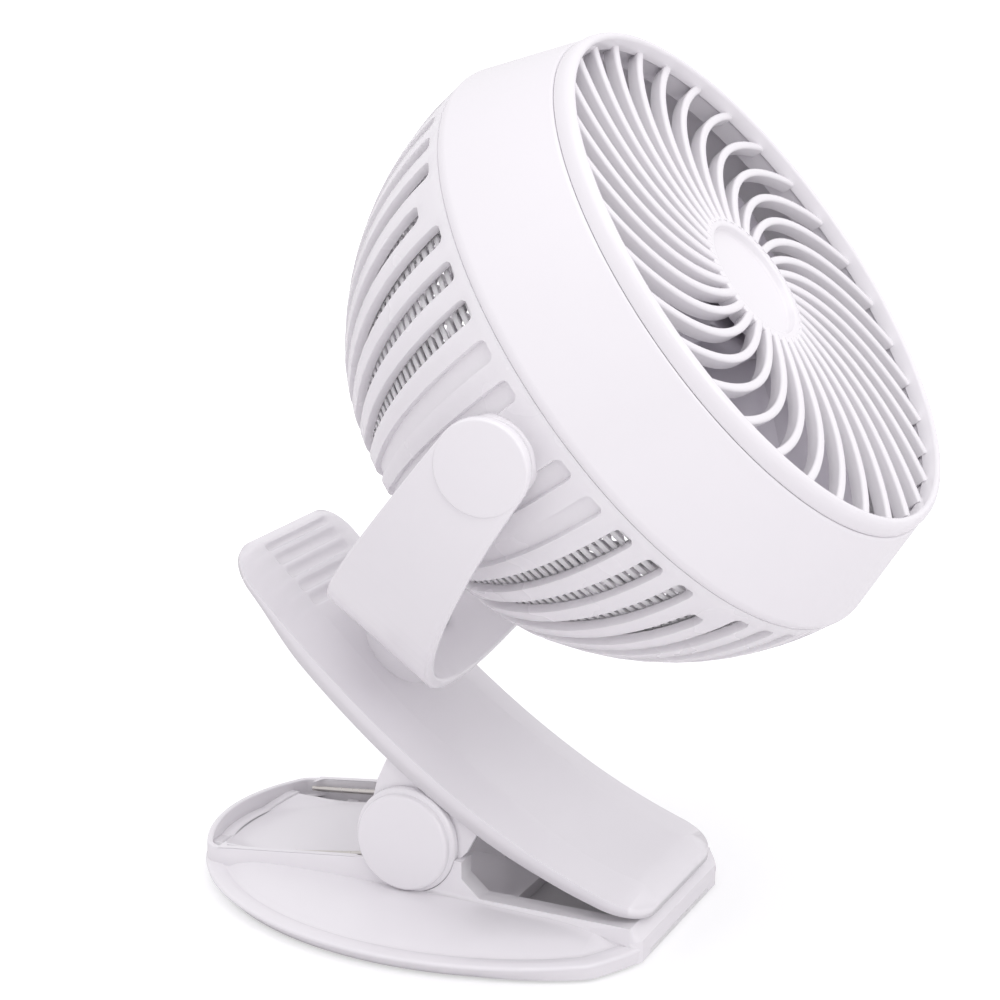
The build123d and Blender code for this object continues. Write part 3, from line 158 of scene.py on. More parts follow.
def moulded_plastic(name, colour, roughness, grain=0.00001, coat=0.0):
    """Injection moulded plastic: a faint flow pattern in the gloss and the slightest orange peel."""
    material = bpy.data.materials.new(name)
    material.use_nodes = True
    nodes, links = material.node_tree.nodes, material.node_tree.links
    skin = nodes["Principled BSDF"]
    skin.inputs["IOR"].default_value = 1.5
    skin.inputs["Coat Weight"].default_value = coat
    skin.inputs["Coat Roughness"].default_value = 0.08
    where = nodes.new("ShaderNodeTexCoord")
    flow = nodes.new("ShaderNodeTexNoise")
    flow.inputs["Scale"].default_value = 45.0
    flow.inputs["Detail"].default_value = 3.0
    links.new(where.outputs["Object"], flow.inputs["Vector"])
    gloss = nodes.new("ShaderNodeMapRange")
    gloss.inputs["To Min"].default_value = roughness - 0.04
    gloss.inputs["To Max"].default_value = roughness + 0.05
    links.new(flow.outputs["Fac"], gloss.inputs["Value"])
    links.new(gloss.outputs["Result"], skin.inputs["Roughness"])
    tint = nodes.new("ShaderNodeMix")
    tint.data_type = "RGBA"
    tint.inputs["A"].default_value = (*[c * 0.985 for c in colour], 1)
    tint.inputs["B"].default_value = (*colour, 1)
    links.new(flow.outputs["Fac"], tint.inputs["Factor"])
    links.new(tint.outputs["Result"], skin.inputs["Base Color"])
    peel = nodes.new("ShaderNodeTexNoise")
    peel.inputs["Scale"].default_value = 900.0
    links.new(where.outputs["Object"], peel.inputs["Vector"])
    relief = nodes.new("ShaderNodeBump")
    relief.inputs["Distance"].default_value = grain
    relief.inputs["Strength"].default_value = 0.6
    links.new(peel.outputs["Fac"], relief.inputs["Height"])
    links.new(relief.outputs["Normal"], skin.inputs["Normal"])
    return material


def outline_spun(bm, corners, steps=192):
    """Turn a closed outline, given as (radius, height, corner radius), right round the axis."""
    points = [bm.verts.new((r, 0, h)) for r, h, soft in corners]
    bm.faces.new(points)
    for soft in sorted({c[2] for c in corners if c[2] > 0}):
        chosen = [p for p, c in zip(points, corners) if c[2] == soft]
        bmesh.ops.bevel(bm, geom=chosen, offset=soft, offset_type="OFFSET", segments=4, profile=0.5,
                        affect="VERTICES", material=-1)
    flat = [f for f in bm.faces if all(abs(v.co.y) < 1e-9 for v in f.verts)]
    verts = list({v for f in flat for v in f.verts})
    edges = list({e for f in flat for e in f.edges})
    bmesh.ops.delete(bm, geom=flat, context="FACES_ONLY")
    bmesh.ops.spin(bm, geom=verts + edges, cent=(0, 0, 0), axis=(0, 0, 1), angle=2 * pi, steps=steps, use_merge=True)


def tidy(bm):
    bmesh.ops.remove_doubles(bm, verts=bm.verts[:], dist=0.0004)
    bmesh.ops.dissolve_degenerate(bm, edges=bm.edges[:], dist=0.0002)
    bmesh.ops.recalc_face_normals(bm, faces=bm.faces[:])


def verts_of(grown):
    """Vertices among what an operator gives back."""
    return [g for g in grown if isinstance(g, bmesh.types.BMVert)]


def finished(bm, name, place, material, body, replaced=(), crease=38):
    """Put a mesh drawn in millimetres in its place, and give it its finish and its body."""
    bmesh.ops.transform(bm, matrix=place @ millimetre, verts=bm.verts[:])
    mesh = bpy.data.meshes.new(name)
    bm.to_mesh(mesh)
    bm.free()
    mesh.shade_smooth()
    mesh.set_sharp_from_angle(angle=radians(crease))
    mesh.materials.append(material)
    piece = bpy.data.objects.new(name, mesh)
    bpy.context.collection.objects.link(piece)
    if body:
        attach(piece, body)
    if replaced:
        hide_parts(*replaced)
    return piece


white_gloss = moulded_plastic("white_gloss", (0.83, 0.812, 0.838), 0.24, coat=0.25)

grille = bmesh.new()
outline_spun(grille, [
    (65.75, 25.62, 0.15), (65.75, 30.0, 3.0), (63.2, 30.0, 0.8), (62.5, 26.0, 0.25), (63.2, 25.7, 0.1),
    (63.1, 21.0, 0.2), (63.8, 21.0, 0.2), (63.8, 25.75, 0.0)])
outline_spun(grille, [
    (0.0, 25.5, 0.0), (13.7, 25.5, 0.5), (14.3, 27.2, 0.4), (16.8, 27.2, 0.4), (16.8, 22.8, 0.2),
    (15.0, 22.8, 0.2), (15.0, 23.9, 0.3), (0.0, 23.9, 0.0)], steps=96)

rib_count, rib_sweep, rib_outer_angle = 33, radians(35.6), radians(91.7)
rib_inner_radius, rib_outer_radius = 15.7, 63.1


def rib_turn(radius):
    """Angle that a rib has turned through on its way out from the hub, in radians."""
    s = (radius - 15.3) / (63.9 - 15.3)
    return rib_sweep * (s + 0.012 * sin(2 * pi * (s - 0.5)) - 0.078 * sin(pi * s))


rib_radii = [rib_inner_radius + (rib_outer_radius - rib_inner_radius) * i / 20 for i in range(21)]
rib_spots = []
for radius in rib_radii:
    angle = rib_outer_angle + rib_sweep - rib_turn(radius)
    nearby = rib_outer_angle + rib_sweep - rib_turn(radius + 0.5)
    x, y = radius * cos(angle), radius * sin(angle)
    heading = atan2((radius + 0.5) * sin(nearby) - y, (radius + 0.5) * cos(nearby) - x)
    rib_spots.append(Matrix.Translation((x, y, 0)) @ Matrix.Rotation(heading, 4, "Z"))
rib = bmesh.new()
rib_points = [rib.verts.new((0, y, z)) for y, z in [(-0.8, 24.0), (0.8, 24.0), (1.1, 27.4), (-1.1, 27.4)]]
rib.faces.new(rib_points)
bmesh.ops.bevel(rib, geom=rib_points[2:], offset=0.7, offset_type="OFFSET", segments=3, profile=0.5,
                affect="VERTICES", material=-1)
bmesh.ops.transform(rib, matrix=rib_spots[0], verts=rib.verts[:])
rim = rib.edges[:]
for before, after in zip(rib_spots, rib_spots[1:]):
    grown = bmesh.ops.extrude_edge_only(rib, edges=rim)["geom"]
    rim = [g for g in grown if isinstance(g, bmesh.types.BMEdge)]
    bmesh.ops.transform(rib, matrix=after @ before.inverted(), verts=verts_of(grown))
bmesh.ops.contextual_create(rib, geom=rim)
bmesh.ops.recalc_face_normals(rib, faces=rib.faces[:])
bmesh.ops.spin(rib, geom=rib.verts[:] + rib.edges[:] + rib.faces[:], cent=(0, 0, 0), axis=(0, 0, 1),
               angle=2 * pi * (rib_count - 1) / rib_count, steps=rib_count - 1, use_duplicate=True)
rib_mesh = bpy.data.meshes.new("ribs")
rib.to_mesh(rib_mesh)
rib.free()
tidy(grille)
grille.from_mesh(rib_mesh)
bpy.data.meshes.remove(rib_mesh)
finished(grille, "grille_moulding", head_frame, white_gloss, "head", ["front_grille"])

# ---- front band: conical ring that joins the bowl to the bezel ----------------------------------
# Gloss white ABS with a rounded shoulder at the seam and a fine step beside the bezel.
band = bmesh.new()
outline_spun(band, [
    (74.5, 0.12, 0.15), (75.0, 1.6, 1.0), (66.35, 25.2, 0.3), (66.05, 25.55, 0.08), (64.1, 25.4, 0.2),
    (72.6, 2.4, 0.5), (72.5, 0.12, 0.15)])
tidy(band)
finished(band, "band_moulding", head_frame, white_gloss, "head", ["front_band"])

# ---- bowl: rear shell of the head with 48 long slots --------------------------------------------
# Gloss white ABS, thin enough to let a little light through. The slots beside the tilt pivots are
# closed, only marked by shallow pockets.


def bowl_points():
    """Outer line of the bowl from the seam to the edge of the flat back, as (radius, height)."""
    side_arc = [radians(a) for a in (-3.76, -5.7, -6.15, -6.9, -9.2, -9.9, -12.0, -16.0, -20.0, -24.0, -28.0, -32.0,
                                     -36.0, -40.0, -44.29)]
    knee_arc = [radians(a) for a in (-47.0, -55.0, -62.0, -68.0, -73.0, -77.0, -79.0, -88.73)]
    return ([(-5.361 + 80.133 * cos(a), 5.256 + 80.133 * sin(a)) for a in side_arc]
            + [(32.442 + 25.204 * cos(a), -34.802 + 25.204 * sin(a)) for a in knee_arc])


def walled(piece, thickness, even=False):
    """Give a skin its wall, inwards from the drawn face, in metres."""
    wall = piece.modifiers.new("wall", "SOLIDIFY")
    wall.thickness = thickness
    wall.offset = -1
    wall.use_even_offset = even


def edges_broken(piece, width, segments=2):
    """Round a piece's sharp edges a little, in metres."""
    soft_edge = piece.modifiers.new("soft_edge", "BEVEL")
    soft_edge.width = width
    soft_edge.segments = segments
    soft_edge.limit_method = "ANGLE"
    soft_edge.angle_limit = radians(50)


def solid_copy(node, place=ground_frame):
    """Copy of a solid's mesh, in millimetres as seen from place, with its seams closed."""
    bm = bmesh.new()
    bm.from_mesh(frame["nodes"][node].data)
    bmesh.ops.transform(bm, matrix=Matrix.Scale(1000, 4) @ place.inverted(), verts=bm.verts[:])
    bmesh.ops.remove_doubles(bm, verts=bm.verts[:], dist=0.002)
    return bm


def at_both_ends(bm):
    """Lay a piece that was spun round Z along Y, and mirror it to the other side."""
    bmesh.ops.rotate(bm, cent=(0, 0, 0), matrix=Matrix.Rotation(radians(90), 3, "X"), verts=bm.verts[:])
    bmesh.ops.mirror(bm, geom=bm.verts[:] + bm.edges[:] + bm.faces[:], merge_dist=0.0001, axis="Y")
    bmesh.ops.recalc_face_normals(bm, faces=bm.faces[:])


def lit_through(material, weight):
    """Let a little light pass through thin plastic."""
    skin = material.node_tree.nodes["Principled BSDF"]
    skin.inputs["Subsurface Weight"].default_value = weight
    skin.inputs["Subsurface Radius"].default_value = (1.0, 0.95, 1.0)
    skin.inputs["Subsurface Scale"].default_value = 0.003


slot_count, pivot_slots, short_slots = 48, (12, 36), (6, 18, 30, 42)
slot_rows = bowl_points()
open_front, open_back = 1, len(slot_rows) - 2     # rows where a full slot starts and ends
short_front = 4                                   # row where the four short slots start
pitch_angle = 2 * pi / slot_count
thin_white = moulded_plastic("thin_white", (0.83, 0.812, 0.838), 0.26, coat=0.2)
lit_through(thin_white, 0.3)
bowl = bmesh.new()
for number in range(slot_count):
    from_pivot = min(abs(number - pivot) for pivot in pivot_slots)
    first = short_front if number in short_slots else open_front
    chain = [bowl.verts.new((r, 0, h)) for r, h in slot_rows]
    start = chain + [bowl.edges.new(pair) for pair in zip(chain, chain[1:])]
    bmesh.ops.rotate(bowl, cent=(0, 0, 0), matrix=Matrix.Rotation((number - 0.5) * pitch_angle, 3, "Z"), verts=chain)
    columns = [chain]
    # half a rib, the slot in two halves, and half a rib again, in degrees
    for width in (1.75, 2.0, 2.0, 1.75):
        start = bmesh.ops.spin(bowl, geom=start, cent=(0, 0, 0), axis=(0, 0, 1), angle=radians(width),
                               steps=1)["geom_last"]
        columns.append(sorted(verts_of(start), key=lambda v: -v.co.z))
    # rounded ends: the slot's two sides draw together over the last rows
    for side_column, way in ((columns[1], 1), (columns[3], -1)):
        for row, share in ((first, 0.42), (first + 1, 0.12), (open_back, 0.40), (open_back - 1, 0.10)):
            bmesh.ops.rotate(bowl, cent=(0, 0, 0), matrix=Matrix.Rotation(way * share * radians(2.0), 3, "Z"),
                             verts=[side_column[row]])
    inside = set()
    for a, b in ((1, 2), (2, 3)):
        for row in range(first, open_back):
            corner = {columns[a][row], columns[a][row + 1], columns[b][row], columns[b][row + 1]}
            for f in columns[a][row].link_faces:
                if set(f.verts) == corner:
                    inside.add(f)
    if from_pivot == 0:
        continue
    if from_pivot <= 2:
        bmesh.ops.inset_region(bowl, faces=list(inside), thickness=0.35, depth=-1.2, use_even_offset=True)
    else:
        bmesh.ops.delete(bowl, geom=list(inside), context="FACES")
tidy(bowl)
# a narrow ledge inside the bowl's back edge, under the flat back
back_edge = [e for e in bowl.edges if e.is_boundary and all(v.co.z < -59.9 for v in e.verts)]
ledge = bmesh.ops.extrude_edge_only(bowl, edges=back_edge)["geom"]
for v in verts_of(ledge):
    v.co = (v.co.x * 32.0 / hypot(v.co.x, v.co.y), v.co.y * 32.0 / hypot(v.co.x, v.co.y), -59.85)
bmesh.ops.recalc_face_normals(bowl, faces=bowl.faces[:])
shell = finished(bowl, "bowl_moulding", head_frame, thin_white, "head", ["rear_shell"])
walled(shell, 0.0022, even=True)
edges_broken(shell, 0.00045)

# the flat back with the openings for the button, the light and the socket, as the solid has it
flat_radius, flat_inside = 33.3, -57.0
back_plate = solid_copy("rear_shell", head_frame)
bmesh.ops.delete(back_plate, context="FACES", geom=[
    f for f in back_plate.faces if any(v.co.z > flat_inside or hypot(v.co.x, v.co.y) > flat_radius for v in f.verts)])
bmesh.ops.delete(back_plate, geom=[v for v in back_plate.verts if not v.link_faces], context="VERTS")
bmesh.ops.dissolve_limit(back_plate, angle_limit=radians(0.5), verts=back_plate.verts[:], edges=back_plate.edges[:])
finished(back_plate, "back_flat", head_frame, thin_white, "head", crease=30)

# the two round bosses that stand on the bowl under the yoke's ends
bosses = bmesh.new()
outline_spun(bosses, [(3.0, 66.0, 0.0), (3.0, 75.15, 0.2), (9.4, 75.15, 0.4), (9.4, 66.0, 0.0)], steps=96)
tidy(bosses)
at_both_ends(bosses)
finished(bosses, "bowl_bosses", head_frame @ Matrix.Translation((0, 0, -0.0155)), white_gloss, "head")

# ---- inner guard: a ladder of thin rungs behind the slots ---------------------------------------
# Satin white moulding inside the bowl, which keeps fingers out. Sixteen bars carry its rungs.
# its white is paler than the shell's; the paleness is painted light that brightens the guard in the shade inside the
# bowl, while its satin gloss is the moulding's own
inner_white = moulded_plastic("inner_white", (0.90, 0.885, 0.905), 0.42)
lit_through(inner_white, 0.7)
guard = bmesh.new()
guard_top, rung_pitch, rung_width = -3.6, 2.2, 1.25
rung_face, rung_inside = 2.9, 3.7          # how far inside the bowl's outer line


def guard_line(h, inward):
    """Radius of the guard at a height, measured inwards from the bowl's outer line."""
    for (r0, h0), (r1, h1) in zip(slot_rows, slot_rows[1:]):
        if h1 <= h <= h0:
            return r0 + (r1 - r0) * (h0 - h) / (h0 - h1) - inward
    return slot_rows[-1][0] - inward


for rung in range(24):
    h = guard_top - rung_pitch * rung
    low = h - rung_width
    outline_spun(guard, [(guard_line(h, rung_face), h, 0.2), (guard_line(h, rung_inside), h, 0.2),
                         (guard_line(low, rung_inside), low, 0.2), (guard_line(low, rung_face), low, 0.2)], steps=96)
bar_heights = [guard_top - 4.1 * i for i in range(13)]
for bar in range(16):
    inner_edge = [guard.verts.new((guard_line(h, 4.3), 0, h)) for h in bar_heights]
    outer_edge = [guard.verts.new((guard_line(h, 3.1), 0, h)) for h in reversed(bar_heights)]
    bar_face = guard.faces.new(inner_edge + outer_edge)
    bmesh.ops.rotate(guard, cent=(0, 0, 0), matrix=Matrix.Rotation(radians(3.75 - 1.2 + 22.5 * bar), 3, "Z"),
                     verts=inner_edge + outer_edge)
    bmesh.ops.spin(guard, geom=[bar_face], cent=(0, 0, 0), axis=(0, 0, 1), angle=radians(2.4), steps=2)
outline_spun(guard, [(35.0, -56.4, 0.3), (38.0, -56.0, 0.3), (38.0, -57.2, 0.3), (35.0, -57.6, 0.3)], steps=96)
tidy(guard)
finished(guard, "guard_ladder", head_frame, inner_white, "head", ["inner_guard"])

# ---- impeller: seven twisted blades on a round hub ----------------------------------------------
# One moulding in slightly clear smoke grey, pressed on the motor's shaft.
smoke_grey = moulded_plastic("smoke_grey", (0.60, 0.57, 0.63), 0.2)
smoke_grey.node_tree.nodes["Principled BSDF"].inputs["Transmission Weight"].default_value = 0.25
blade_count, blade_root, blade_reach = 7, 16.2, 43.4
impeller = bmesh.new()
for number in range(blade_count):
    for v in bmesh.ops.create_grid(impeller, x_segments=22, y_segments=12, size=0.5)["verts"]:
        # out runs from the hub to the tip, and chord from the front edge to the back edge
        out = min(max(v.co.x + 0.5, 0.0), 1.0)
        chord = v.co.y * sqrt(max(0.0, 1 - max(0.0, (out - 0.84) / 0.16) ** 2 * 0.55))
        radius = blade_root + blade_reach * out
        angle = radians(360 / blade_count * number - 14.0 * out + chord * 52.2 * (1 - 0.12 * out))
        rise = 12.25 + chord * 13.5 * (1 - 0.30 * out) + 1.4 * (0.25 - chord * chord)
        v.co = (radius * cos(angle), radius * sin(angle), rise)
bmesh.ops.solidify(impeller, geom=impeller.faces[:], thickness=1.1)
outline_spun(impeller, [
    (3.0, 5.2, 0.2), (3.0, 16.0, 0.2), (0.0, 16.0, 0.0), (0.0, 19.9, 0.0), (15.4, 19.9, 2.0), (16.9, 16.5, 0.8),
    (16.9, 5.2, 0.3), (15.4, 5.2, 0.3), (15.4, 16.0, 0.3), (4.5, 16.0, 0.3), (4.5, 5.2, 0.2)], steps=96)
tidy(impeller)
finished(impeller, "blade_wheel", head_frame, smoke_grey, "rotor", ["impeller"])

# ---- yoke: half ring that carries the head -------------------------------------------------------
# Gloss white strip, 3 mm thick, with round ends and wider at the bottom, bolted on the pedestal.


def raised(bm, face, rise):
    """Grow a flat face into a plate."""
    bmesh.ops.translate(bm, vec=rise, verts=verts_of(bmesh.ops.extrude_face_region(bm, geom=[face])["geom"]))


def cut(bm, spot, way, clear=False):
    """Put edges where a plane crosses a mesh, and take away what lies beyond it if asked."""
    bmesh.ops.bisect_plane(bm, geom=bm.verts[:] + bm.edges[:] + bm.faces[:], plane_co=spot, plane_no=way,
                           clear_outer=clear, dist=0.0001)


bow_face, bow_inside, bow_straight, bow_end = 80.85, 78.0, 0.4, 10.6
bow_middle = (bow_face + bow_inside) / 2
bow_reach = bow_straight + bow_middle * pi / 2
yoke = bmesh.new()
outline = [(-bow_end * sin(radians(9 * i)), bow_end * cos(radians(9 * i))) for i in range(10, 0, -1)]
for i in range(29):
    along = bow_reach * i / 28
    deep = min(along, bow_straight) + bow_middle * sin(max(along - bow_straight, 0) / bow_middle)
    outline.append((along, bow_end + 0.0409 * deep + 0.000554 * deep * deep))
outline += [(2 * bow_reach - x, y) for x, y in reversed(outline[:-1])]
outline += [(x, -y) for x, y in reversed(outline[1:-1])]
strip = yoke.faces.new([yoke.verts.new((x, y, 0)) for x, y in outline])
raised(yoke, strip, (0, 0, bow_face - bow_inside))
bmesh.ops.recalc_face_normals(yoke, faces=yoke.faces[:])
rim = [e for e in yoke.edges if e.calc_face_angle(0) > radians(60)]
bmesh.ops.bevel(yoke, geom=rim, offset=0.75, offset_type="OFFSET", segments=3, profile=0.5, affect="EDGES", material=-1)
for i in range(1, 112):
    cut(yoke, (2 * bow_reach * i / 112 + 0.01, 0, 0), (1, 0, 0))
for v in yoke.verts:
    along, across, radius = v.co.x, v.co.y, bow_inside + v.co.z
    if along < bow_straight:
        v.co = (across, -radius, -along)
    elif along > 2 * bow_reach - bow_straight:
        v.co = (across, radius, along - 2 * bow_reach)
    else:
        turn = (along - bow_straight) / bow_middle
        v.co = (across, -radius * cos(turn), -bow_straight - radius * sin(turn))
bmesh.ops.recalc_face_normals(yoke, faces=yoke.faces[:])
finished(yoke, "yoke_strip", yoke_frame, white_gloss, "yoke", ["yoke_bow"], crease=50)

# the raised rings inside the yoke's ends, and the round covers over the tilt screws
for name, corners, replaced in [
    ("yoke_rings", [(3.0, 75.95, 0.1), (3.0, 78.4, 0.0), (9.6, 78.4, 0.0), (9.6, 75.95, 0.3)], []),
    ("end_covers", [(0.0, 79.5, 0.0), (0.0, 81.0, 0.0), (10.5, 81.0, 0.55), (10.5, 79.5, 0.0)], ["tilt_caps"]),
]:
    ends = bmesh.new()
    outline_spun(ends, corners, steps=96)
    tidy(ends)
    at_both_ends(ends)
    finished(ends, name, yoke_frame, white_gloss, "yoke", replaced)

# ---- upper arm: handle and upper jaw in one tray-like moulding ------------------------------------
# Gloss white ABS, hollow underneath. Its upper face is a soft tray inside a rounded rim, with five
# grip grooves at the handle's end, and two ears under it turn on the clip's axle.
low_edge = [(-53.4, 84.9), (-44.9, 75.4), (-32.7, 60.7), (-8.0, 39.8), (15.4, 25.0), (36.1, 16.0), (56.5, 9.8)]
ledge_edge = [(-52.7, 86.2), (-43.9, 77.0), (-19.2, 55.2), (1.5, 39.6), (20.3, 28.0), (36.0, 20.3), (56.5, 12.6)]
crest_edge = [(-51.6, 87.7), (-43.5, 80.8), (-30.0, 68.3), (-8.0, 51.3), (14.0, 37.2), (36.1, 22.9), (56.5, 14.3)]
tray_edge = [(-51.6, 87.7), (-43.6, 80.5), (-29.9, 67.9), (-8.3, 48.3), (14.0, 34.0), (36.1, 21.2), (56.5, 14.3)]
arm_length, arm_width, arm_corner = 131.4, 54.0, 10.0


def on_edge(points, share):
    """Point of a smooth line through points, at a share of its length, in the plane of symmetry."""
    spots = [Vector((x, 0, z)) for x, z in points]
    spans = [(b - a).length for a, b in zip(spots, spots[1:])]
    left = min(max(share, 0.0), 1.0) * sum(spans)
    k = 0
    while k < len(spans) - 1 and left > spans[k]:
        left -= spans[k]
        k += 1
    t = left / spans[k]
    before = spots[k - 1] if k else spots[0] * 2 - spots[1]
    after = spots[k + 2] if k + 2 < len(spots) else spots[-1] * 2 - spots[-2]
    leave = (spots[k + 1] - before) * (spans[k] / ((spots[k + 1] - spots[k]).length + (spots[k] - before).length))
    arrive = (after - spots[k]) * (spans[k] / ((after - spots[k + 1]).length + (spots[k + 1] - spots[k]).length))
    return (spots[k] * (2 * t ** 3 - 3 * t ** 2 + 1) + leave * (t ** 3 - 2 * t ** 2 + t)
            + spots[k + 1] * (3 * t ** 2 - 2 * t ** 3) + arrive * (t ** 3 - t ** 2))


def from_rim(s, y):
    """Distance inwards from the arm's outline, a rectangle with round corners."""
    past_end = abs(s - arm_length / 2) - (arm_length / 2 - arm_corner)
    past_side = abs(y) - (arm_width / 2 - arm_corner)
    return arm_corner - hypot(max(past_end, 0), max(past_side, 0)) - min(max(past_end, past_side), 0)


# each ring of the rim, as (distance inwards, from which edge, to which edge, share of the way)
rim_rings = [(0.0, 0, 1, 0.86), (0.35, 0, 1, 0.98), (1.2, 0, 1, 1.0),
             (1.6, 1, 2, 0.25), (1.9, 1, 2, 0.66), (2.5, 1, 2, 0.92), (3.4, 1, 2, 1.0),
             (4.6, 2, 3, 0.04), (6.0, 2, 3, 0.22), (7.6, 2, 3, 0.55), (9.4, 2, 3, 0.86), (11.2, 2, 3, 1.0)]
groove_spots, groove_half, groove_depth = [4.1 + 4.3 * i for i in range(5)], 1.45, 0.9
groove_reach, groove_runout = 15.7, 1.9
arm = bmesh.new()
bmesh.ops.create_grid(arm, x_segments=1, y_segments=1, size=0.5)
for v in arm.verts:
    v.co = ((v.co.x + 0.5) * arm_length, v.co.y * arm_width, 0)
bmesh.ops.bevel(arm, geom=arm.verts[:], offset=arm_corner, offset_type="OFFSET", segments=10, profile=0.5,
                affect="VERTICES", material=-1)
inner = arm.faces[:]
for (d0, *_), (d1, *_) in zip(rim_rings, rim_rings[1:]):
    bmesh.ops.inset_region(arm, faces=inner, thickness=d1 - d0, use_even_offset=True)
# cuts across are close together over the grooves and wide apart over the rest
for s in [2.0 + 0.45 * i for i in range(50)] + [26.5 + 2.6 * i for i in range(41)]:
    cut(arm, (s, 0, 0), (1, 0, 0))
for y in (-15.7, -15.0, -13.8, -7.0, 0.0, 7.0, 13.8, 15.0, 15.7):
    cut(arm, (0, y, 0), (0, 1, 0))
skirt_top = [e for e in arm.edges if e.is_boundary]
skirt = set(verts_of(bmesh.ops.extrude_edge_only(arm, edges=skirt_top)["geom"]))
for v in arm.verts:
    s, y = v.co.x, v.co.y
    share = s / arm_length
    edges_here = [on_edge(points, share) for points in (low_edge, ledge_edge, crest_edge, tray_edge)]
    if v in skirt:
        spot = edges_here[0]
    else:
        inward = from_rim(s, y)
        a, b, part = 2, 3, 1.0
        for (d0, a0, b0, m0), (d1, a1, b1, m1) in zip(rim_rings, rim_rings[1:]):
            if inward < d0 + 0.02:
                a, b, part = a0, b0, m0
                break
            if inward < d1 - 0.02:
                if (a0, b0) == (a1, b1):
                    a, b, part = a1, b1, m0 + (m1 - m0) * (inward - d0) / (d1 - d0)
                else:
                    a, b, part = a1, b1, m1 * (inward - d0) / (d1 - d0)
                break
        spot = edges_here[a].lerp(edges_here[b], part)
        if a == 2:
            # the groove's floor is round, and it runs out before the rim
            fade = min(max((groove_reach - abs(y)) / groove_runout, 0.0), 1.0)
            down = (edges_here[0] - edges_here[2]).normalized()
            for groove in groove_spots:
                near = abs(s - groove) / groove_half
                if near < 1:
                    spot = spot + down * groove_depth * sqrt(1 - near ** 2) * fade
    v.co = (spot.x, y, spot.z)
bmesh.ops.recalc_face_normals(arm, faces=arm.faces[:])
if sum(f.normal.z for f in arm.faces) < 0:
    bmesh.ops.reverse_faces(arm, faces=arm.faces[:])
handle = finished(arm, "arm_moulding", ground_frame, white_gloss, "arm", ["arm_shell"], crease=60)
walled(handle, 0.0022)

# ears, cross ribs and the boss under the pedestal, inside the hollow arm
axle_x, axle_z, ear_radius = -4.2, 20.7, 12.2
slant = ear_radius * cos(radians(45))
ear_line = [(-13.0, 34.0), (-9.0, 43.0), (15.5, 27.8), (11.2, 19.6), (axle_x + slant, axle_z - slant),
            (axle_x, axle_z - ear_radius), (axle_x - slant, axle_z - slant), (axle_x - ear_radius, axle_z)]
ears = bmesh.new()
for across in (22.4, -25.0):
    raised(ears, ears.faces.new([ears.verts.new((x, across, z)) for x, z in ear_line]), (0, 2.6, 0))
for x, z0, z1 in [(-32.0, 61.5, 67.6), (6.0, 32.0, 37.4), (22.0, 22.6, 27.8)]:
    cross_rib = bmesh.ops.create_cube(ears, size=1.0)["verts"]
    bmesh.ops.scale(ears, vec=(1.7, 41.0, z1 - z0 - 1.2), verts=cross_rib)
    bmesh.ops.translate(ears, vec=(x, 0, (z0 + z1) / 2 - 0.6), verts=cross_rib)
bmesh.ops.recalc_face_normals(ears, faces=ears.faces[:])
bmesh.ops.bevel(ears, geom=[e for e in ears.edges if e.calc_face_angle(0) > radians(60)], offset=0.4,
                offset_type="OFFSET", segments=2, profile=0.5, affect="EDGES", material=-1)
finished(ears, "arm_ears", ground_frame, white_gloss, "arm")
boss = bmesh.new()
outline_spun(boss, [(3.1, -101.0, 0.2), (3.1, -95.0, 0.0), (10.2, -95.0, 0.0), (10.2, -101.0, 0.5)], steps=72)
tidy(boss)
finished(boss, "pedestal_boss", swivel_frame, white_gloss, "arm")

# ---- base: flat oval lower jaw with a raised middle ------------------------------------------------
# Gloss white ABS. The rolled rim, the soft wings and the thin tail wall are drawn here. The middle
# with its lugs keeps the solid's own faces, with broken edges, round front corners and closed sides.
oval_a, oval_b, oval_x, front_x = 69.15, 55.65, 0.4, 56.45
curve_from, curve_to, rim_width, block_side = 40.0, 25.0, 5.3, 26.4


def oval_spot(turn):
    """Point of the base's oval outline and the direction straight out of it."""
    x, y = oval_a * cos(turn), oval_b * sin(turn)
    return Vector((oval_x + x, y)), Vector((x / oval_a ** 2, y / oval_b ** 2)).normalized()


def tail_line(y, a, b):
    """Where an oval about the base's middle passes y, on the tail's side."""
    return oval_x - a * sqrt(1 - (y / b) ** 2)


# the oval runs into the straight front along a soft curve
leaves = pi - asin(curve_from / oval_b)
edge_line = [oval_spot(pi - leaves * i / 70) for i in range(71)]
curve_start, curve_end = edge_line[-1][0], Vector((front_x, curve_to))
heading = Vector((edge_line[-1][1].y, -edge_line[-1][1].x))
curve_grips = [curve_start, curve_start + heading * 3.0, curve_end + Vector((0, 2.0)), curve_end]
for i in range(1, 17):
    t = i / 16
    weights = [(1 - t) ** 3, 3 * t * (1 - t) ** 2, 3 * t * t * (1 - t), t ** 3]
    slopes = [-3 * (1 - t) ** 2, 3 * (1 - t) * (1 - 3 * t), 3 * t * (2 - 3 * t), 3 * t * t]
    spot = sum((g * w for g, w in zip(curve_grips, weights)), Vector((0, 0)))
    ahead = sum((g * w for g, w in zip(curve_grips, slopes)), Vector((0, 0))).normalized()
    edge_line.append((spot, Vector((-ahead.y, ahead.x))))
edge_line += [(Vector((front_x, curve_to * (1 - i / 8))), Vector((1, 0))) for i in range(1, 9)]
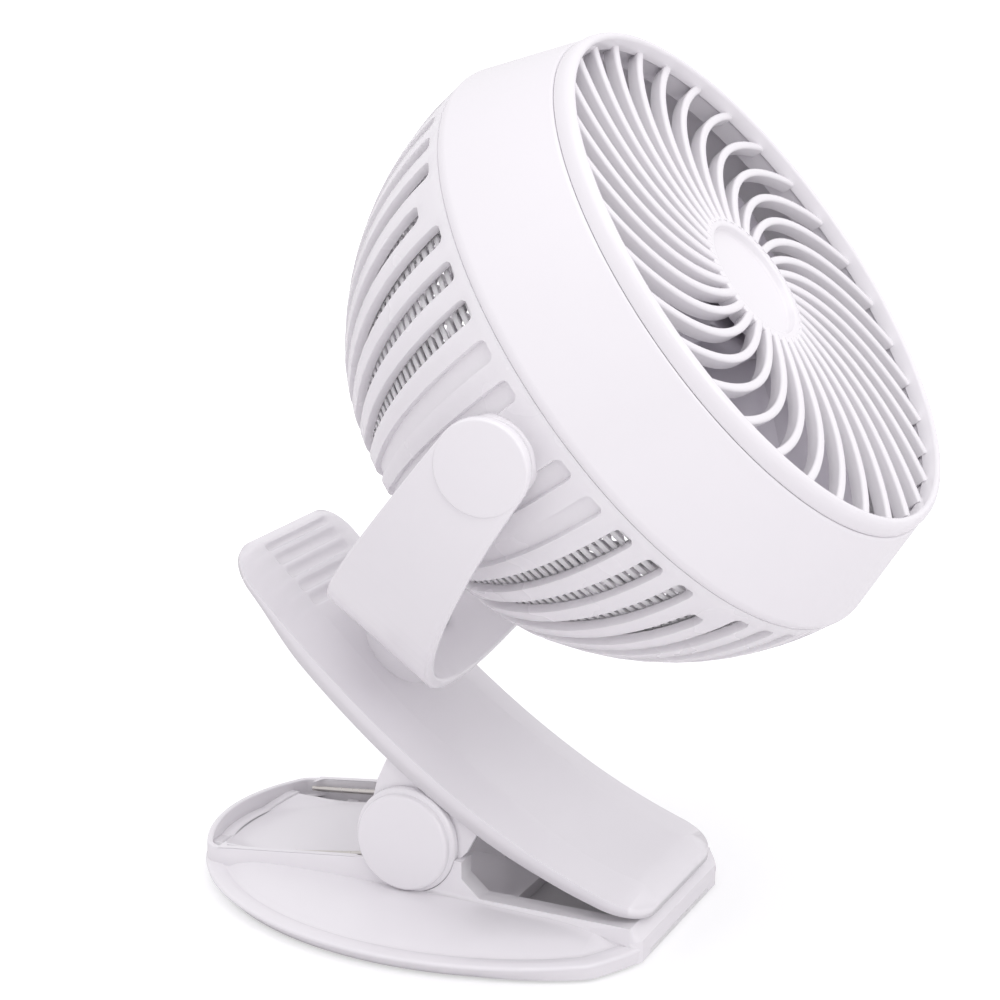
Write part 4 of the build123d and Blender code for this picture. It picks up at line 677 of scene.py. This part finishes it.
# rows of the rim as (distance inwards, height), then the wing's rows as shares of the way to the block
rim_rows = [(2.9, 0.7), (0.15, 3.5), (0.0, 4.0), (0.25, 4.38), (0.75, 4.58), (2.4, 4.74), (3.9, 4.78), (4.35, 4.60),
            (4.7, 4.56), (rim_width, 4.72)]
wing_shares = [0.06, 0.13, 0.22, 0.32, 0.44, 0.58, 0.78, 1.0]
base = bmesh.new()
row_count = len(rim_rows) + len(wing_shares)
bmesh.ops.create_grid(base, x_segments=len(edge_line) - 1, y_segments=row_count - 1, size=0.5)
for v in base.verts:
    spot, way = edge_line[round((v.co.x + 0.5) * (len(edge_line) - 1))]
    row = round((v.co.y + 0.5) * (row_count - 1))
    inwards, height = rim_rows[min(row, len(rim_rows) - 1)]
    if row == 0:      # the rim's underside is steeper towards the front
        inwards *= 1 - 0.85 * min(max((spot.x - 25.0) / 25.0, 0.0), 1.0)
    here = spot - way * inwards
    if row >= len(rim_rows):
        across = max(0.0, here.y - block_side) * wing_shares[row - len(rim_rows)]
        here = Vector((here.x, here.y - across))
        height += 3.8 * (1 - exp(-across / 8.0)) * (1 - exp(-max(front_x - rim_width - here.x, 0.0) / 4.0))
    v.co = (here.x, -here.y, height)
bmesh.ops.mirror(base, geom=base.verts[:] + base.edges[:] + base.faces[:], merge_dist=0.002, axis="Y")
bmesh.ops.remove_doubles(base, verts=base.verts[:], dist=0.002)
bmesh.ops.recalc_face_normals(base, faces=base.faces[:])
finished(base, "base_wings", ground_frame, white_gloss, "base", crease=60)

# the middle, with the lugs and the block under the jaw: its tail walls are drawn anew below
corner_x, corner_y, corner_radius = 54.0, 24.5, 2.5
raised_part = solid_copy("base_shell")
bmesh.ops.dissolve_limit(raised_part, angle_limit=radians(0.5), verts=raised_part.verts[:], edges=raised_part.edges[:])
for hand in (1, -1):
    cut(raised_part, (0, hand * 27.02, 0), (0, hand, 0), clear=True)
cut(raised_part, (-8, 0, 0), (1, 0, 0))
centres = {f: f.calc_center_median() for f in raised_part.faces}
old_tail = [f for f, c in centres.items() if c.x < -8.0 and (abs(c.y) > 25.2 or c.x < -52.0) and c.z > 2.7]
bmesh.ops.delete(raised_part, geom=old_tail, context="FACES")
for y in (corner_y, 25.2, 25.9, block_side, 26.8):
    for hand in (1, -1):
        cut(raised_part, (0, hand * y, 0), (0, 1, 0))
for hand in (1, -1):
    for v in bmesh.ops.create_grid(raised_part, x_segments=1, y_segments=1, size=0.5)["verts"]:
        v.co = (42.3 + v.co.x * 24.6, hand * 26.9, 3.6 + v.co.y * 4.8)
for v in raised_part.verts:
    past = abs(v.co.y) - corner_y
    if v.co.x > 52.0 and past > 0:
        v.co.x = min(v.co.x, corner_x + sqrt(max(corner_radius ** 2 - past ** 2, 0.0)))
block = finished(raised_part, "base_middle", ground_frame, white_gloss, "base", ["base_shell"],
                 crease=30)
edges_broken(block, 0.0004)

# the tail's wall: straight along both sides, round at the corners, and along the oval at the back
tail_low, tail_high, tail_turn = 8.8, 13.9, -18.0
tail = bmesh.new()
bend_start, bend_grip, bend_end = Vector((-53.0, 27.0)), Vector((-59.6, 27.0)), Vector((-61.6, 24.0))
wall_line = [(-8.0 - 3.0 * i, 27.0) for i in range(16)]
wall_line += [tuple(bend_start * (1 - t) ** 2 + bend_grip * 2 * t * (1 - t) + bend_end * t * t)
              for t in [i / 8 for i in range(1, 9)]]
wall_line += [(tail_line(y, 68.8, 55.3), y) for y in [24.0 - 1.6 * i for i in range(1, 16)]]
chain = [tail.verts.new((x, -y, 0)) for x, y in wall_line]
for pair in zip(chain, chain[1:]):
    tail.edges.new(pair)
bmesh.ops.mirror(tail, geom=tail.verts[:] + tail.edges[:], merge_dist=0.01, axis="Y")
for v in tail.verts:
    v.co.z = 3.0
for v in verts_of(bmesh.ops.extrude_edge_only(tail, edges=tail.edges[:])["geom"]):
    past = v.co.x - tail_turn
    v.co.z = min(max(tail_low, tail_high + past * 4.95 / 39.0), tail_high + past * 0.072)
bmesh.ops.recalc_face_normals(tail, faces=tail.faces[:])
if tail.faces[0].normal.y * tail.faces[0].calc_center_median().y < 0:
    bmesh.ops.reverse_faces(tail, faces=tail.faces[:])
tail_wall = finished(tail, "tail_wall", ground_frame, white_gloss, "base", crease=60)
walled(tail_wall, 0.0015)
edges_broken(tail_wall, 0.0004, segments=3)

# ---- spring cover: sloping plate in the tail, between the springs' legs ----------------------------
# Gloss white, pressed in from above. Behind it the base has a narrow shelf, and the floor that both
# lie on turns up a little along the springs' slits.


def tail_floor(x, y):
    """Height of the tail's floor, which turns up a little along the springs' slits."""
    floor_here, side_here = 5.2 + 0.14 * (x + 58), 6.8 - (19.4 - abs(y)) * 0.24
    return max(floor_here, side_here) + 0.15 * max(0.0, 1 - abs(floor_here - side_here) / 0.5)


def floor_sheet(segments, width, rear, front):
    """Sheet along the tail's floor between two lines across it, each given as x for a y."""
    sheet = bmesh.new()
    bmesh.ops.create_grid(sheet, x_segments=segments, y_segments=32, size=0.5)
    for v in sheet.verts:
        y = v.co.y * width
        x = rear(y) + (v.co.x + 0.5) * (front(y) - rear(y))
        v.co = (x, y, tail_floor(x, y))
    bmesh.ops.recalc_face_normals(sheet, faces=sheet.faces[:])
    if sheet.faces[0].normal.z < 0:
        bmesh.ops.reverse_faces(sheet, faces=sheet.faces[:])
    return sheet


shelf = floor_sheet(3, 39.6, lambda y: tail_line(y, 67.9, 54.4), lambda y: tail_line(y, 64.7, 51.2))
tail_shelf = finished(shelf, "tail_shelf", ground_frame, white_gloss, "base", crease=60)
walled(tail_shelf, 0.0022)
cover = floor_sheet(40, 38.4, lambda y: tail_line(y, 64.6, 51.1), lambda y: -19.2)
cover_plate = finished(cover, "spring_cover_plate", ground_frame, white_gloss, "base", ["spring_cover"],
                       crease=60)
walled(cover_plate, 0.0016)
edges_broken(cover_plate, 0.0004)

# ---- pivot caps: round covers over the axle's ends --------------------------------------------------
# Gloss white, pressed on. Each has a low step round its face.
caps = bmesh.new()
outline_spun(caps, [
    (2.0, 25.3, 0.0), (2.0, 27.3, 0.0), (0.0, 27.3, 0.0), (0.0, 29.5, 0.0), (12.0, 29.5, 0.9), (12.1, 27.7, 0.15),
    (12.8, 27.5, 0.35), (13.2, 26.9, 0.2), (13.2, 25.3, 0.2)], steps=96)
tidy(caps)
at_both_ends(caps)
finished(caps, "axle_covers", axle_frame, white_gloss, "base", ["pivot_caps"])

# ---- torsion springs: two coils on the axle, with a leg in the tail and a leg under the handle -----
# Bright drawn wire, 1.4 mm thick, of two turns and a bit more.


def plain_metal(name, colour, roughness, streak):
    """Machined or drawn metal with fine streaks across its gloss."""
    material = bpy.data.materials.new(name)
    material.use_nodes = True
    nodes, links = material.node_tree.nodes, material.node_tree.links
    skin = nodes["Principled BSDF"]
    skin.inputs["Metallic"].default_value = 1.0
    skin.inputs["Base Color"].default_value = (*colour, 1)
    where = nodes.new("ShaderNodeTexCoord")
    lines = nodes.new("ShaderNodeTexNoise")
    lines.inputs["Scale"].default_value = streak
    lines.inputs["Detail"].default_value = 4.0
    links.new(where.outputs["Object"], lines.inputs["Vector"])
    gloss = nodes.new("ShaderNodeMapRange")
    gloss.inputs["To Min"].default_value = roughness - 0.08
    gloss.inputs["To Max"].default_value = roughness + 0.12
    links.new(lines.outputs["Fac"], gloss.inputs["Value"])
    links.new(gloss.outputs["Result"], skin.inputs["Roughness"])
    return material


spring_wire = plain_metal("spring_wire", (0.62, 0.60, 0.57), 0.28, 800.0)
coil_start, coil_turn, coil_radius, coil_pitch = radians(13.0 - 90.0), radians(121.5 - 13.0) + 4 * pi, 5.2, 1.9
for hand, name in ((1, "left"), (-1, "right")):
    coil = []
    for i in range(97):
        turned = coil_turn * i / 96
        coil.append(Vector((coil_radius * cos(coil_start + turned), hand * (21.4 - coil_pitch * turned / (2 * pi)),
                            coil_radius * sin(coil_start + turned))))
    arrive = Vector((-sin(coil_start + coil_turn), 0, cos(coil_start + coil_turn)))
    leg_end, leg_bend = Vector((-53.0, hand * 23.2, -13.7)), Vector((-19.8, hand * 21.9, -9.8))
    leg = [leg_end * (1 - t) ** 2 + leg_bend * 2 * t * (1 - t) + coil[0] * t ** 2 for t in [i / 24 for i in range(24)]]
    route = leg + coil + [coil[-1] + arrive * (2.0 + 2 * i) for i in range(16)]
    wire = bpy.data.curves.new("wire", "CURVE")
    wire.dimensions = "3D"
    wire.bevel_depth = 0.7
    wire.bevel_resolution = 4
    wire.use_fill_caps = True
    spline = wire.splines.new("POLY")
    spline.points.add(len(route) - 1)
    for point, spot in zip(spline.points, route):
        point.co = (*spot, 1)
    holder = bpy.data.objects.new("holder", wire)
    drawn = bmesh.new()
    drawn.from_mesh(bpy.data.meshes.new_from_object(holder))
    bpy.data.objects.remove(holder)
    spring = finished(drawn, "wound_spring_" + name, axle_frame, spring_wire, None,
                      ["clip_spring_" + name], crease=60)
    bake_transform(spring)

# ---- rubber: the jaws' two pads and the mat under the base -----------------------------------------
# Soft pale grey rubber, glued in shallow seats, with fine ribs across.
rubber = moulded_plastic("pale_rubber", (0.56, 0.55, 0.56), 0.7, grain=0.00004)
for node, body in (("jaw_pad_lower", "base"), ("jaw_pad_upper", "arm"), ("foot_mat", "base")):
    pad = solid_copy(node)
    bmesh.ops.dissolve_limit(pad, angle_limit=radians(1.0), verts=pad.verts[:], edges=pad.edges[:])
    bmesh.ops.bevel(pad, geom=[e for e in pad.edges if e.calc_face_angle(0) > radians(50)], offset=0.25,
                    offset_type="OFFSET", segments=3, profile=0.5, affect="EDGES", material=-1, clamp_overlap=True)
    finished(pad, node + "_rubber", ground_frame, rubber, body, [node], crease=40)

# ---- carried-over pieces get their finishes -----------------------------------------------------
# Everything that isn't remade above keeps its solid and takes the finish of its material slot.
finishes = {
    "shell_white": white_gloss,
    "inner_white": inner_white,
    "blade_grey": smoke_grey,
    "pad_rubber": rubber,
    "spring_steel": spring_wire,
    "steel": plain_metal("zinc_steel", (0.60, 0.60, 0.62), 0.32, 500.0),
    "brass": plain_metal("turned_brass", (0.72, 0.52, 0.24), 0.28, 600.0),
    "washer_nylon": moulded_plastic("nylon", (0.72, 0.71, 0.68), 0.5),
    "cell_foil": plain_metal("cell_foil", (0.72, 0.73, 0.76), 0.35, 220.0),
    "board_green": moulded_plastic("board_green", (0.03, 0.16, 0.07), 0.35),
    "switch_black": moulded_plastic("switch_black", (0.02, 0.02, 0.02), 0.45),
    "lens_clear": moulded_plastic("lens_clear", (0.85, 0.9, 0.95), 0.08),
}
slot_of = {part["node"]: part["material_slot"] for part in frame["record"]["subparts"]}
for node, body in frame["nodes"].items():
    body.data.materials.clear()
    body.data.materials.append(finishes[slot_of[node]])
